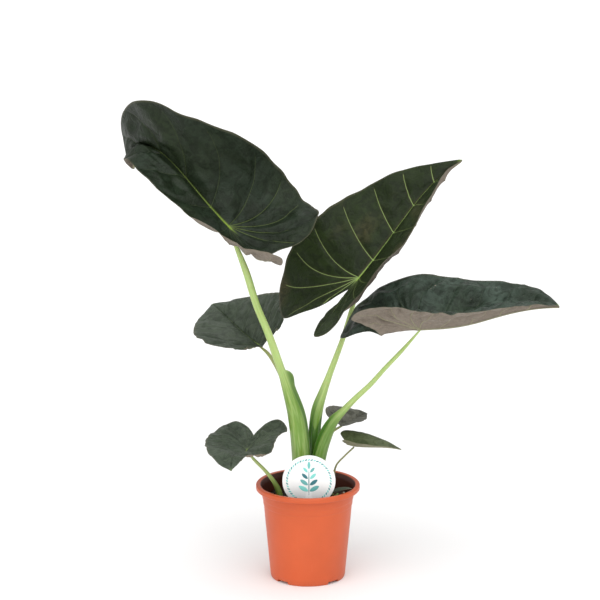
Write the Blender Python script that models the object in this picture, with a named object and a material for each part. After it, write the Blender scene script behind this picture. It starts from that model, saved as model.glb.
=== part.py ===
"""Potted alocasia: a nursery pot of soil, a corm, eight stalked leaves and a plain round plant label.

Metres, +Z up.  The origin is the middle of the pot's underside, on the floor, and the plant's widest
view is along +Y, with the label at the front (-Y).
"""
import math

import bmesh
import bpy
import numpy as np

GAP = 0.0003                    # clearance between pieces that touch
MERGE = 0.00001                 # distance under which doubled vertices become one

# Pot: (radius, height) pairs.
POT_SIDES = 48
POT_TURN = math.radians(2.1)    # turn of the pot's first side from +X
POT_OUTSIDE = [
    (0.0605, 0.0000), (0.0615, 0.0040), (0.0705, 0.1020), (0.0722, 0.1225), (0.0730, 0.1240),
    (0.0738, 0.1325), (0.0747, 0.1345), (0.0762, 0.1480), (0.0835, 0.1480), (0.0850, 0.1495),
    (0.0850, 0.1555), (0.0838, 0.1570), (0.0788, 0.1570),
]
POT_INSIDE = [
    (0.0772, 0.1555), (0.0748, 0.1490), (0.0720, 0.1300), (0.0705, 0.1220), (0.0689, 0.1020), (0.0598, 0.0075),
]
POT_FLOOR = 0.0075              # height of the floor's upper side
POT_PLATE = 0.0050              # height of the floor's underside
PAD_RADIUS = 0.022              # flat pad in the middle of the underside
FOOT_INNER = 0.052              # inner radius of the foot ring
NOTCH_ANGLES = (47.0, 133.0, 227.0, 313.0)
NOTCH_WIDTH = 0.022
NOTCH_LENGTH = 0.020
NOTCH_RADIUS = 0.058            # where the middle of a notch stands
DRAIN_COUNT = 6
DRAIN_SIDES = 12
DRAIN_TURN = math.radians(17.0)     # turn of the first drain from +X
DRAIN_RADIUS = 0.004
DRAIN_CIRCLE = 0.037

# Soil: (radius, height) pairs of its outer side, and its level.
SOIL_SIDE = [(0.0594, 0.0078), (0.0685, 0.1020), (0.0701, 0.1220), (0.0716, 0.1300), (0.0712, 0.1330)]
SOIL_LEVEL = 0.1330

# Corm, the swollen foot the stalks grow from.
CORM_CENTRE = (0.003, 0.005)
CORM_RADII = (0.033, 0.029)
CORM_BOTTOM = 0.105
CORM_TOP = 0.146
CORM_SIDES = 28
CORM_PROFILE = [(0.55, 0.00), (0.85, 0.15), (1.00, 0.45), (1.00, 0.72), (0.96, 0.92), (0.86, 1.00)]

# Plant label: a round tag on a pointed stake.
LABEL_CENTRE = (0.0015, -0.0500, 0.1770)
LABEL_RADIUS = 0.043
LABEL_THICKNESS = 0.0012
LABEL_SIDES = 44
STAKE_WIDTH = 0.016
STAKE_POINT = 0.070             # height of the stake's tip
STAKE_SHOULDER = 0.090          # height where the point begins

# Leaf blades.
BLADE_THICKNESS = 0.0012
VEIN_FAN = 0.56                 # share of the margin reached by veins from the stalk joint
VEIN_BOW = 0.06                 # how far a vein bows back, as a share of the length
VEIN_SPREAD = 1.15              # how the later veins crowd along the midrib
STATIONS = (-0.5, 0.0, 0.5, 1.0)    # shares of the length where bends, folds and curls are given
# Half outline from the notch round the lobe to the tip: shares of length and of half width.
HALF_OUTLINE = [
    (-0.13, 0.00), (-0.22, 0.10), (-0.36, 0.30), (-0.46, 0.60), (-0.40, 0.83), (-0.20, 0.98),
    (0.05, 1.00), (0.30, 0.86), (0.55, 0.61), (0.76, 0.34), (0.90, 0.12), (1.00, 0.00),
]
INNER_COUNT = 4                 # outline points from the notch to the end of the lobe

# Each leaf: joint with the stalk (m); heading from +X toward +Y, rise and roll (degrees); length (m);
# pairs for the left and right halves: half width (m) and lobe length; fullness of lobes and of tip; depth
# of the notch behind the joint, as a share of the length; midrib pitch at the lobes, the middle and the
# tip; sway and twist at the tip; and for each half the fold at the midrib and the curl toward the margin
# at the four stations (degrees).
LEAVES = {
    1: dict(joint=(-0.127, -0.020, 0.592), heading=148, rise=36, roll=23, length=0.300,
            half=(0.073, 0.127), lobe=(1.25, 0.9), full=(0.85, 0.55), notch=0.30, bend=(-50, -10, -110),
            sway=-15, twist=-20, fold_left=(0, 0, 0, -5), curl_left=(70, 55, 25, 0),
            fold_right=(5, 10, 65, 50), curl_right=(25, 10, 25, 40)),
    2: dict(joint=(0.083, 0.030, 0.496), heading=29, rise=43, roll=-12, length=0.257,
            half=(0.130, 0.099), lobe=(1.0, 1.2), full=(1.1, 0.95), notch=0.10, bend=(-20, 10, -10),
            sway=-10, twist=5, fold_left=(-25, 15, 15, 15), curl_left=(25, 20, 15, 0),
            fold_right=(17, 25, 21, 15), curl_right=(0, 5, -5, 15)),
    3: dict(joint=(0.177, -0.075, 0.437), heading=-6, rise=5, roll=6, length=0.224,
            half=(0.101, 0.096), lobe=(1.2, 0.80), full=(0.65, 0.5), notch=0.28, bend=(40, 13, -3),
            sway=0, twist=0, fold_left=(30, 63, 48, 28), curl_left=(-10, -25, -20, -10),
            fold_right=(64, 35, 20, 6), curl_right=(-32, -20, -10, 0)),
    4: dict(joint=(-0.082, 0.100, 0.366), heading=114, rise=1, roll=23, length=0.174,
            half=(0.111, 0.095), lobe=(0.85, 0.85), full=(0.7, 0.8), notch=0.10, bend=(-20, 15, 10),
            sway=0, twist=0, fold_left=(25, 30, 25, 5), curl_left=(10, 10, 5, 5),
            fold_right=(40, 35, 25, 0), curl_right=(10, 5, 5, 5)),
    5: dict(joint=(-0.099, -0.040, 0.226), heading=255, rise=-10, roll=-4, length=0.126,
            half=(0.058, 0.068), lobe=(1.45, 1.3), full=(1.1, 0.65), notch=0.35, bend=(-20, 30, -35),
            sway=10, twist=0, fold_left=(-5, 15, -5, 0), curl_left=(0, 5, 0, 0),
            fold_right=(0, 15, 10, -5), curl_right=(0, 5, 5, 5)),
    6: dict(joint=(0.060, 0.070, 0.239), heading=32, rise=9, roll=-11, length=0.047,
            half=(0.039, 0.046), lobe=(1.0, 1.0), full=(0.85, 0.85), notch=0.20, bend=(0, 5, 5),
            sway=0, twist=0, fold_left=(35, 25, 20, 20), curl_left=(5, 0, 0, 5),
            fold_right=(25, 25, 20, 20), curl_right=(5, 5, 5, 5)),
    7: dict(joint=(0.076, 0.030, 0.212), heading=-3, rise=-6, roll=5, length=0.078,
            half=(0.036, 0.030), lobe=(0.75, 0.6), full=(0.7, 0.8), notch=0.15, bend=(-15, 6, -6),
            sway=0, twist=0, fold_left=(32, 36, 25, 10), curl_left=(-10, -10, 0, 0),
            fold_right=(30, 22, 16, 10), curl_right=(0, 0, 0, 0)),
    8: dict(joint=(0.048, -0.036, 0.153), heading=-20, rise=20, roll=0, length=0.026,
            half=(0.012, 0.012), lobe=(0.8, 0.8), full=(0.8, 0.8), notch=0.15, bend=(-10, 5, -10),
            sway=0, twist=0, fold_left=(20, 25, 20, 10), curl_left=(0, 0, 0, 0),
            fold_right=(20, 25, 20, 10), curl_right=(0, 0, 0, 0)),
}
BIG_LEAVES = (1, 2, 3)
BIG_GRID = (4, 18)              # steps from midrib to margin, and along the margin
SMALL_GRID = (3, 12)

# Each stalk from its foot up: (x, y, z, radius, wing), where the wing is how far the sheath's edge
# stands out.  The last point, at the blade's joint, is added from the leaf.
CORM_FOOT = CORM_TOP + GAP
SOIL_FOOT = SOIL_LEVEL + GAP
STALKS = {
    1: dict(wing_angle=25, points=[
        (-0.009, -0.004, CORM_FOOT, 0.0145, 0.000), (-0.010, -0.004, 0.181, 0.0150, 0.000),
        (-0.013, -0.005, 0.232, 0.0150, 0.001), (-0.019, -0.006, 0.272, 0.0135, 0.003),
        (-0.033, -0.010, 0.318, 0.0085, 0.006), (-0.041, -0.012, 0.345, 0.0068, 0.005),
        (-0.050, -0.014, 0.373, 0.0066, 0.000), (-0.063, -0.016, 0.412, 0.0061, 0.000),
        (-0.082, -0.018, 0.460, 0.0058, 0.000), (-0.099, -0.020, 0.517, 0.0056, 0.000)]),
    2: dict(wing_angle=200, points=[
        (0.008, 0.021, CORM_FOOT, 0.0095, 0.000), (0.009, 0.021, 0.190, 0.0100, 0.000),
        (0.011, 0.020, 0.240, 0.0100, 0.001), (0.017, 0.020, 0.281, 0.0085, 0.002),
        (0.025, 0.021, 0.305, 0.0065, 0.002), (0.035, 0.022, 0.335, 0.0053, 0.000),
        (0.046, 0.023, 0.365, 0.0047, 0.000), (0.056, 0.024, 0.393, 0.0042, 0.000),
        (0.071, 0.026, 0.443, 0.0040, 0.000)]),
    3: dict(wing_angle=165, points=[
        (0.0165, -0.004, CORM_FOOT, 0.0095, 0.000), (0.0175, -0.004, 0.190, 0.0102, 0.001),
        (0.029, -0.004, 0.235, 0.0092, 0.004), (0.043, -0.010, 0.266, 0.0070, 0.003),
        (0.059, -0.016, 0.287, 0.0054, 0.000), (0.075, -0.022, 0.306, 0.0047, 0.000),
        (0.100, -0.034, 0.334, 0.0041, 0.000), (0.124, -0.048, 0.366, 0.0036, 0.000),
        (0.147, -0.061, 0.395, 0.0032, 0.000)]),
    4: dict(wing_angle=0, points=[
        (-0.019, 0.021, CORM_FOOT, 0.0052, 0.000), (-0.019, 0.023, 0.190, 0.0052, 0.000),
        (-0.022, 0.031, 0.240, 0.0046, 0.000), (-0.029, 0.043, 0.279, 0.0039, 0.000),
        (-0.039, 0.058, 0.309, 0.0034, 0.000), (-0.053, 0.074, 0.337, 0.0031, 0.000),
        (-0.066, 0.087, 0.354, 0.0029, 0.000)]),
    5: dict(wing_angle=150, points=[
        (-0.044, -0.018, SOIL_FOOT, 0.0052, 0.002), (-0.048, -0.021, 0.153, 0.0043, 0.002),
        (-0.057, -0.027, 0.171, 0.0035, 0.000), (-0.071, -0.034, 0.191, 0.0029, 0.000),
        (-0.086, -0.038, 0.208, 0.0026, 0.000)]),
    6: dict(wing_angle=0, points=[
        (0.021, 0.036, SOIL_FOOT, 0.0042, 0.000), (0.021, 0.037, 0.160, 0.0038, 0.000),
        (0.026, 0.046, 0.195, 0.0032, 0.000), (0.035, 0.058, 0.222, 0.0027, 0.000)]),
    7: dict(wing_angle=0, points=[
        (0.041, 0.008, SOIL_FOOT, 0.0023, 0.000), (0.042, 0.010, 0.160, 0.0018, 0.000),
        (0.047, 0.014, 0.184, 0.0015, 0.000), (0.061, 0.021, 0.198, 0.0014, 0.000)]),
    8: dict(wing_angle=0, points=[
        (0.042, -0.025, SOIL_FOOT, 0.0024, 0.000), (0.043, -0.029, 0.142, 0.0018, 0.000)]),
}
STALK_SIDES = 10
STALK_STEPS = 2                 # rings for each stretch between points
STALK_END = 0.0014              # radius of a stalk's end under the blade
WING_SPREAD = 0.9               # radians of the stalk's round that the wing takes up

COLOURS = {
    "pot_plastic": (0.78, 0.16, 0.06, 1.0),
    "peat": (0.035, 0.020, 0.012, 1.0),
    "corm_skin": (0.25, 0.30, 0.08, 1.0),
    "label_card": (0.85, 0.86, 0.84, 1.0),
    "leaf": (0.020, 0.045, 0.025, 1.0),
    "stalk": (0.35, 0.52, 0.12, 1.0),
}


def slot_material(slot):
    """The material of a slot, made once."""
    found = bpy.data.materials.get(slot)
    if found:
        return found
    made = bpy.data.materials.new(slot)
    made.use_nodes = True
    shader = made.node_tree.nodes["Principled BSDF"]
    shader.inputs["Base Color"].default_value = COLOURS[slot]
    shader.inputs["Roughness"].default_value = 0.5
    return made


def add_object(name, mesh_data, origin, slot, smooth=True):
    """An object whose vertices are given in world places, with its own origin and material."""
    vertices, faces = mesh_data
    mesh = bpy.data.meshes.new(name)
    mesh.from_pydata([tuple(np.subtract(v, origin)) for v in vertices], [], faces)
    work = bmesh.new()
    work.from_mesh(mesh)
    bmesh.ops.remove_doubles(work, verts=work.verts, dist=MERGE)
    bmesh.ops.recalc_face_normals(work, faces=work.faces)
    work.to_mesh(mesh)
    work.free()
    for face in mesh.polygons:
        face.use_smooth = smooth
    made = bpy.data.objects.new(name, mesh)
    made.location = origin
    made.data.materials.append(slot_material(slot))
    bpy.context.collection.objects.link(made)
    return made


def lathe(profile, sides, centre=(0.0, 0.0), radii=(1.0, 1.0), turn=0.0):
    """Closed solid turned round a vertical line, with flat ends; radii scale the profile along x and y."""
    vertices = []
    for radius, height in profile:
        for k in range(sides):
            angle = turn + 2 * math.pi * k / sides
            x = centre[0] + radius * radii[0] * math.cos(angle)
            y = centre[1] + radius * radii[1] * math.sin(angle)
            vertices.append((x, y, height))
    faces = [list(range(sides)), list(range(len(vertices) - sides, len(vertices)))]
    for r in range(len(profile) - 1):
        for k in range(sides):
            after = (k + 1) % sides
            faces.append([r * sides + k, r * sides + after, (r + 1) * sides + after, (r + 1) * sides + k])
    return vertices, faces


def box_data(size, centre, angle=0.0):
    """Box turned by angle about the vertical through the origin after being put at centre."""
    corners = [(x, y, z) for x in (-0.5, 0.5) for y in (-0.5, 0.5) for z in (-0.5, 0.5)]
    turned = []
    for x, y, z in corners:
        px = centre[0] + x * size[0]
        py = centre[1] + y * size[1]
        turned.append((px * math.cos(angle) - py * math.sin(angle),
                       px * math.sin(angle) + py * math.cos(angle),
                       centre[2] + z * size[2]))
    faces = [(0, 1, 3, 2), (4, 6, 7, 5), (0, 4, 5, 1), (2, 3, 7, 6), (0, 2, 6, 4), (1, 5, 7, 3)]
    return turned, faces


def cut(target, mesh_data, name):
    """Take a solid out of target with a hidden cutter."""
    vertices, faces = mesh_data
    mesh = bpy.data.meshes.new(name)
    mesh.from_pydata(vertices, [], faces)
    cutter = bpy.data.objects.new(name, mesh)
    bpy.context.collection.objects.link(cutter)
    work = bmesh.new()
    work.from_mesh(mesh)
    bmesh.ops.recalc_face_normals(work, faces=work.faces)
    work.to_mesh(mesh)
    work.free()
    cutter.hide_render = True
    cutter.display_type = "WIRE"
    step = target.modifiers.new(name, "BOOLEAN")
    step.operation = "DIFFERENCE"
    step.solver = "EXACT"
    step.object = cutter


def make_pot():
    """Round pot with a shoulder, a rolled lip, a floor with drains, a foot ring in four arcs and a pad."""
    underside = [(PAD_RADIUS, 0.0), (PAD_RADIUS, POT_PLATE), (FOOT_INNER, POT_PLATE), (FOOT_INNER, 0.0)]
    profile = underside + POT_OUTSIDE + POT_INSIDE
    pot = add_object("pot", lathe(profile, POT_SIDES, turn=POT_TURN), (0.0, 0.0, 0.0), "pot_plastic")
    for n, degrees in enumerate(NOTCH_ANGLES):
        notch = box_data((NOTCH_LENGTH, NOTCH_WIDTH, 2 * POT_PLATE - 0.001),
                         (NOTCH_RADIUS, 0.0, 0.0), math.radians(degrees))
        cut(pot, notch, "notch_cutter_%d" % n)
    for n in range(DRAIN_COUNT):
        angle = DRAIN_TURN + 2 * math.pi * n / DRAIN_COUNT
        centre = (DRAIN_CIRCLE * math.cos(angle), DRAIN_CIRCLE * math.sin(angle))
        drain = lathe([(DRAIN_RADIUS, 0.001), (DRAIN_RADIUS, 2 * POT_FLOOR)], DRAIN_SIDES, centre)
        cut(pot, drain, "drain_cutter_%d" % n)


def make_soil():
    """Soil filling the pot, with a pocket for the corm and a slot for the label's stake."""
    soil = add_object("soil", lathe(SOIL_SIDE, POT_SIDES, turn=POT_TURN), (0.0, 0.0, 0.0), "peat")
    pocket_radii = (CORM_RADII[0] + GAP, CORM_RADII[1] + GAP)
    over = SOIL_LEVEL + 0.01
    pocket = lathe([(1.0, CORM_BOTTOM - GAP), (1.0, over)], CORM_SIDES, CORM_CENTRE, pocket_radii)
    cut(soil, pocket, "pocket_cutter")
    x, y, _ = LABEL_CENTRE
    low = STAKE_POINT - GAP
    slot = box_data((STAKE_WIDTH + 2 * GAP, LABEL_THICKNESS + 2 * GAP, over - low), (x, y, (over + low) / 2))
    cut(soil, slot, "slot_cutter")


def make_corm():
    """Swollen stem base, half sunk in the soil, with a flat top that carries the stalks."""
    tall = CORM_TOP - CORM_BOTTOM
    profile = [(radius, CORM_BOTTOM + share * tall) for radius, share in CORM_PROFILE]
    data = lathe(profile, CORM_SIDES, CORM_CENTRE, CORM_RADII)
    add_object("corm", data, (CORM_CENTRE[0], CORM_CENTRE[1], CORM_BOTTOM), "corm_skin")


def make_label():
    """Round tag and its stake, one flat piece."""
    cx, cy, cz = LABEL_CENTRE
    half_stake = STAKE_WIDTH / 2
    first = math.asin(half_stake / LABEL_RADIUS)
    outline = []
    for k in range(LABEL_SIDES + 1):
        angle = -math.pi / 2 + first + (2 * math.pi - 2 * first) * k / LABEL_SIDES
        outline.append((cx + LABEL_RADIUS * math.cos(angle), cz + LABEL_RADIUS * math.sin(angle)))
    outline += [(cx - half_stake, STAKE_SHOULDER), (cx, STAKE_POINT), (cx + half_stake, STAKE_SHOULDER)]
    count = len(outline)
    front = [(x, cy - LABEL_THICKNESS / 2, z) for x, z in outline]
    back = [(x, cy + LABEL_THICKNESS / 2, z) for x, z in outline]
    faces = [list(range(count)), list(range(2 * count - 1, count - 1, -1))]
    faces += [[k, (k + 1) % count, count + (k + 1) % count, count + k] for k in range(count)]
    add_object("plant_label", (front + back, faces), (cx, cy, STAKE_POINT), "label_card", smooth=False)


def smooth_through(knots, values, at):
    """Cubic Hermite curve through values at knots, with slopes from the neighbouring stretches."""
    knots = np.asarray(knots, float)
    values = np.asarray(values, float).reshape(len(knots), -1)
    at = np.asarray(at, float)
    places = np.clip(at.ravel(), knots[0], knots[-1])
    steps = np.diff(knots)[:, None]
    slopes = np.diff(values, axis=0) / steps
    inner = (slopes[:-1] * steps[1:] + slopes[1:] * steps[:-1]) / (steps[:-1] + steps[1:])
    tangents = np.vstack([slopes[:1], inner, slopes[-1:]])
    i = np.clip(np.searchsorted(knots, places, side="right") - 1, 0, len(knots) - 2)
    step = steps[i]
    s = ((places - knots[i]) / step[:, 0])[:, None]
    curve = ((1 + 2 * s) * (1 - s) ** 2 * values[i] + s * (1 - s) ** 2 * step * tangents[i]
             + s * s * (3 - 2 * s) * values[i + 1] + s * s * (s - 1) * step * tangents[i + 1])
    curve = curve.reshape(at.shape + (values.shape[1],))
    return curve[..., 0] if values.shape[1] == 1 else curve


def leaf_axes(leaf):
    """Midrib direction, left direction and upper normal of a leaf at its joint."""
    heading, rise, roll = (math.radians(leaf[k]) for k in ("heading", "rise", "roll"))
    ahead = np.array([math.cos(rise) * math.cos(heading), math.cos(rise) * math.sin(heading), math.sin(rise)])
    up = np.array([-math.sin(rise) * math.cos(heading), -math.sin(rise) * math.sin(heading), math.cos(rise)])
    left = np.cross(up, ahead)
    return ahead, left * math.cos(roll) - up * math.sin(roll), up * math.cos(roll) + left * math.sin(roll)


def midrib(leaf):
    """Distances along the midrib, its points and its directions, bent and swayed."""
    ahead, left, up = leaf_axes(leaf)
    along = np.linspace(-0.9, 1.0, 191) * leaf["length"]
    share = along / leaf["length"]
    lobes, middle, tip = leaf["bend"]
    pitch = np.radians(smooth_through(STATIONS, (lobes, 0.0, middle, tip), share))
    sway = np.radians(leaf["sway"]) * np.clip(share, 0, 1)
    toward = (np.cos(pitch) * np.cos(sway))[:, None] * ahead
    toward = toward + (np.cos(pitch) * np.sin(sway))[:, None] * left + np.sin(pitch)[:, None] * up
    walked = np.cumsum((toward[1:] + toward[:-1]) / 2 * (along[1] - along[0]), axis=0)
    walked = np.vstack([np.zeros(3), walked])
    start = walked[np.argmin(abs(along))]
    return along, walked - start + np.array(leaf["joint"]), toward


def half_outline(leaf, k):
    """The half outline with this leaf's notch, lobe and fullness."""
    outline = np.array(HALF_OUTLINE)
    fullness = np.where(outline[:, 0] < 0, leaf["full"][0], leaf["full"][1])
    outline[:, 1] = outline[:, 1] ** fullness
    inner = slice(0, INNER_COUNT)
    shallow = outline[0, 0]
    deep = outline[INNER_COUNT - 1, 0]
    stretch = (deep * leaf["lobe"][k] + leaf["notch"]) / (deep - shallow)
    outline[inner, 0] = (outline[inner, 0] - shallow) * stretch - leaf["notch"]
    outline[INNER_COUNT:INNER_COUNT + 2, 0] *= leaf["lobe"][k]
    return outline


def half_blade(leaf, side, across, around):
    """Grid of points of one half: rows follow the margin from notch to tip, columns run out from the midrib."""
    name = "left" if side > 0 else "right"
    k = 0 if side > 0 else 1
    length = leaf["length"]
    half = leaf["half"][k]
    outline = half_outline(leaf, k)
    chords = np.linalg.norm(np.diff(outline * (1.0, 0.45), axis=0), axis=1)
    knots = np.concatenate([[0.0], np.cumsum(chords)]) / chords.sum()
    margin = smooth_through(knots, outline, around) * (length, half)
    root = np.clip((around - VEIN_FAN) / (1 - VEIN_FAN), 0, 1) ** VEIN_SPREAD * length
    out = across[None, :]
    x = root[:, None] + (margin[:, :1] - root[:, None]) * out
    x = x - VEIN_BOW * length * 4 * out * (1 - out) * margin[:, 1:] / half
    y = margin[:, 1:] * out
    along, points, toward = midrib(leaf)
    place = np.stack([np.interp(x, along, points[:, i]) for i in range(3)], axis=-1)
    ahead = np.stack([np.interp(x, along, toward[:, i]) for i in range(3)], axis=-1)
    ahead = ahead / np.linalg.norm(ahead, axis=-1, keepdims=True)
    first_left = leaf_axes(leaf)[1]
    left = first_left - (ahead @ first_left)[..., None] * ahead
    left = left / np.linalg.norm(left, axis=-1, keepdims=True)
    up = np.cross(ahead, left)
    twist = np.radians(leaf["twist"]) * np.clip(x / length, 0, 1)[..., None]
    left, up = left * np.cos(twist) + up * np.sin(twist), up * np.cos(twist) - left * np.sin(twist)
    fold = np.radians(smooth_through(STATIONS, leaf["fold_" + name], x / length))
    curl = np.radians(smooth_through(STATIONS, leaf["curl_" + name], x / length)) / half
    curl = np.where(abs(curl) < 0.0001, 0.0001, curl)
    run = (np.sin(fold + curl * y) - np.sin(fold)) / curl
    lift = (np.cos(fold) - np.cos(fold + curl * y)) / curl
    return place + side * run[..., None] * left + lift[..., None] * up


def make_blade(number):
    """Heart-shaped blade: two half grids sewn along the midrib, given a thickness."""
    leaf = LEAVES[number]
    columns, rows = BIG_GRID if number in BIG_LEAVES else SMALL_GRID
    across = np.linspace(0, 1, columns + 1)
    around = np.linspace(0, 1, rows + 1)
    vertices = []
    faces = []
    for side in (1, -1):
        base = len(vertices)
        vertices += half_blade(leaf, side, across, around).reshape(-1, 3).tolist()
        for r in range(rows):
            for c in range(columns):
                a = base + r * (columns + 1) + c
                quad = [a, a + 1, a + columns + 2, a + columns + 1]
                faces.append(quad[::-side])
    blade = add_object("blade_%d" % number, (vertices, faces), leaf["joint"], "leaf")
    skin = blade.modifiers.new("thickness", "SOLIDIFY")
    skin.thickness = BLADE_THICKNESS
    skin.offset = 0.0


def make_stalk(number):
    """Tapering stalk along a smooth path, with the sheath's wing on its lower part."""
    stalk = STALKS[number]
    leaf = LEAVES[number]
    reach = BLADE_THICKNESS / 2 + GAP + STALK_END
    end = np.array(leaf["joint"]) - leaf_axes(leaf)[2] * reach
    table = np.array(stalk["points"] + [(*end, STALK_END, 0.0)])
    gaps = np.linalg.norm(np.diff(table[:, :3], axis=0), axis=1)
    knots = np.concatenate([[0.0], np.cumsum(gaps)])
    steps = np.interp(np.arange((len(knots) - 1) * STALK_STEPS + 1) / STALK_STEPS, np.arange(len(knots)), knots)
    shape = smooth_through(knots, table, steps)
    directions = np.gradient(shape[:, :3], steps, axis=0)
    directions[0] = (0.0, 0.0, 1.0)
    angles = 2 * np.pi * np.arange(STALK_SIDES) / STALK_SIDES
    away = (angles - math.radians(stalk["wing_angle"]) + np.pi) % (2 * np.pi) - np.pi
    wing = np.clip(1 - abs(away) / WING_SPREAD, 0, 1)
    vertices = []
    for row, toward in zip(shape, directions):
        toward = toward / np.linalg.norm(toward)
        back = np.array([0.0, 1.0, 0.0]) - toward[1] * toward
        back = back / np.linalg.norm(back)
        right = np.cross(back, toward)
        radius = max(row[3], 0.0005) + np.clip(row[4], 0, 1) * wing
        ring = row[:3] + radius[:, None] * (np.cos(angles)[:, None] * right + np.sin(angles)[:, None] * back)
        vertices += ring.tolist()
    count = STALK_SIDES
    faces = [list(range(count))[::-1], list(range(len(vertices) - count, len(vertices)))]
    for r in range(len(shape) - 1):
        for k in range(count):
            after = (k + 1) % count
            faces.append([r * count + k, r * count + after, (r + 1) * count + after, (r + 1) * count + k])
    add_object("stalk_%d" % number, (vertices, faces), stalk["points"][0][:3], "stalk")


def main():
    """Clear the scene and build every piece."""
    for old in list(bpy.data.objects):
        bpy.data.objects.remove(old, do_unlink=True)
    make_pot()
    make_soil()
    make_corm()
    make_label()
    for number in LEAVES:
        make_stalk(number)
        make_blade(number)


main()
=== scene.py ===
"""Potted alocasia: blades, stalks, corm, soil, pot and label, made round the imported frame.

Metres, +Z up.  The origin is the middle of the pot's underside, on the floor.
"""

import math

import bpy
import numpy as np
from mathutils import Euler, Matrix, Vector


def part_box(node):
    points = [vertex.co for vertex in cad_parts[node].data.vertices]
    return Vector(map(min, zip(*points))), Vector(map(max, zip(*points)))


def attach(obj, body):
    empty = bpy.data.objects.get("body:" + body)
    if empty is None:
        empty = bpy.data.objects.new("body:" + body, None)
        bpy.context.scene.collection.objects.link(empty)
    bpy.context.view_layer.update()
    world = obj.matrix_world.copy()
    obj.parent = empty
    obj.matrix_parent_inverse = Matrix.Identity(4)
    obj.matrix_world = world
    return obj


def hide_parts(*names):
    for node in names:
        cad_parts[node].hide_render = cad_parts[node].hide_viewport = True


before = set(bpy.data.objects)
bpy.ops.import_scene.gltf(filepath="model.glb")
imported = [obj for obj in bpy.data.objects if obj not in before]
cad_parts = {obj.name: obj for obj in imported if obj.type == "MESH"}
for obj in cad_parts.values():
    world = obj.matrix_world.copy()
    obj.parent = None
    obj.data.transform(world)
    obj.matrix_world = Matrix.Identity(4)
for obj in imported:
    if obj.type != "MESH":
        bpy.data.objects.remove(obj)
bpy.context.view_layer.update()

bl_info = {
    "name": "Potted alocasia",
    "version": (1, 0, 0),
    "blender": (4, 5, 0),
    "location": "View3D > Sidebar > Alocasia",
    "description": "Builds a potted alocasia plant: heart-shaped blades, sheathed stalks, soil, pot and label",
    "category": "Add Mesh",
}

# ---------------------------------------------------------------- sizes shared with the frame
POT_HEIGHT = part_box("pot")[1].z
SOIL_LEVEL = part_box("soil")[1].z
CORM_LOW, CORM_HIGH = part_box("corm")
LABEL_LOW, LABEL_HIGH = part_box("plant_label")
FOOT_GAP = 0.0003               # gap under a stalk's foot
STALK_FOOT = CORM_HIGH.z + FOOT_GAP
SOIL_FOOT = SOIL_LEVEL + FOOT_GAP

# ---------------------------------------------------------------- leaf shape
VEIN_FAN = 0.56                 # share of the margin reached by veins from the stalk joint
VEIN_BOW = (0.075, 0.020)       # bow of a vein in the lobes and at the tip, as a share of the length
VEIN_SPREAD = 1.15              # how the later veins crowd along the midrib
STATIONS = (-0.5, 0.0, 0.5, 1.0)    # shares of the length where bends, folds and curls are given
# Half outline from the notch round the lobe to the tip: shares of length and of half width.
HALF_OUTLINE = [
    (-0.13, 0.00), (-0.22, 0.10), (-0.36, 0.30), (-0.46, 0.60), (-0.40, 0.83), (-0.20, 0.98),
    (0.05, 1.00), (0.30, 0.86), (0.55, 0.61), (0.76, 0.34), (0.90, 0.12), (1.00, 0.00),
]
INNER_COUNT = 4                 # outline points from the notch to the end of the lobe
# Veins: the shares of the half margin they reach, and the mesh rows laid beside each of them.
VEIN_PLACES = (0.10, 0.22, 0.33, 0.43, 0.53, 0.64, 0.74, 0.83, 0.91)
VEIN_SIDES = (-0.0090, -0.0055, -0.0028, 0.0, 0.0028, 0.0055, 0.0090)
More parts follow.
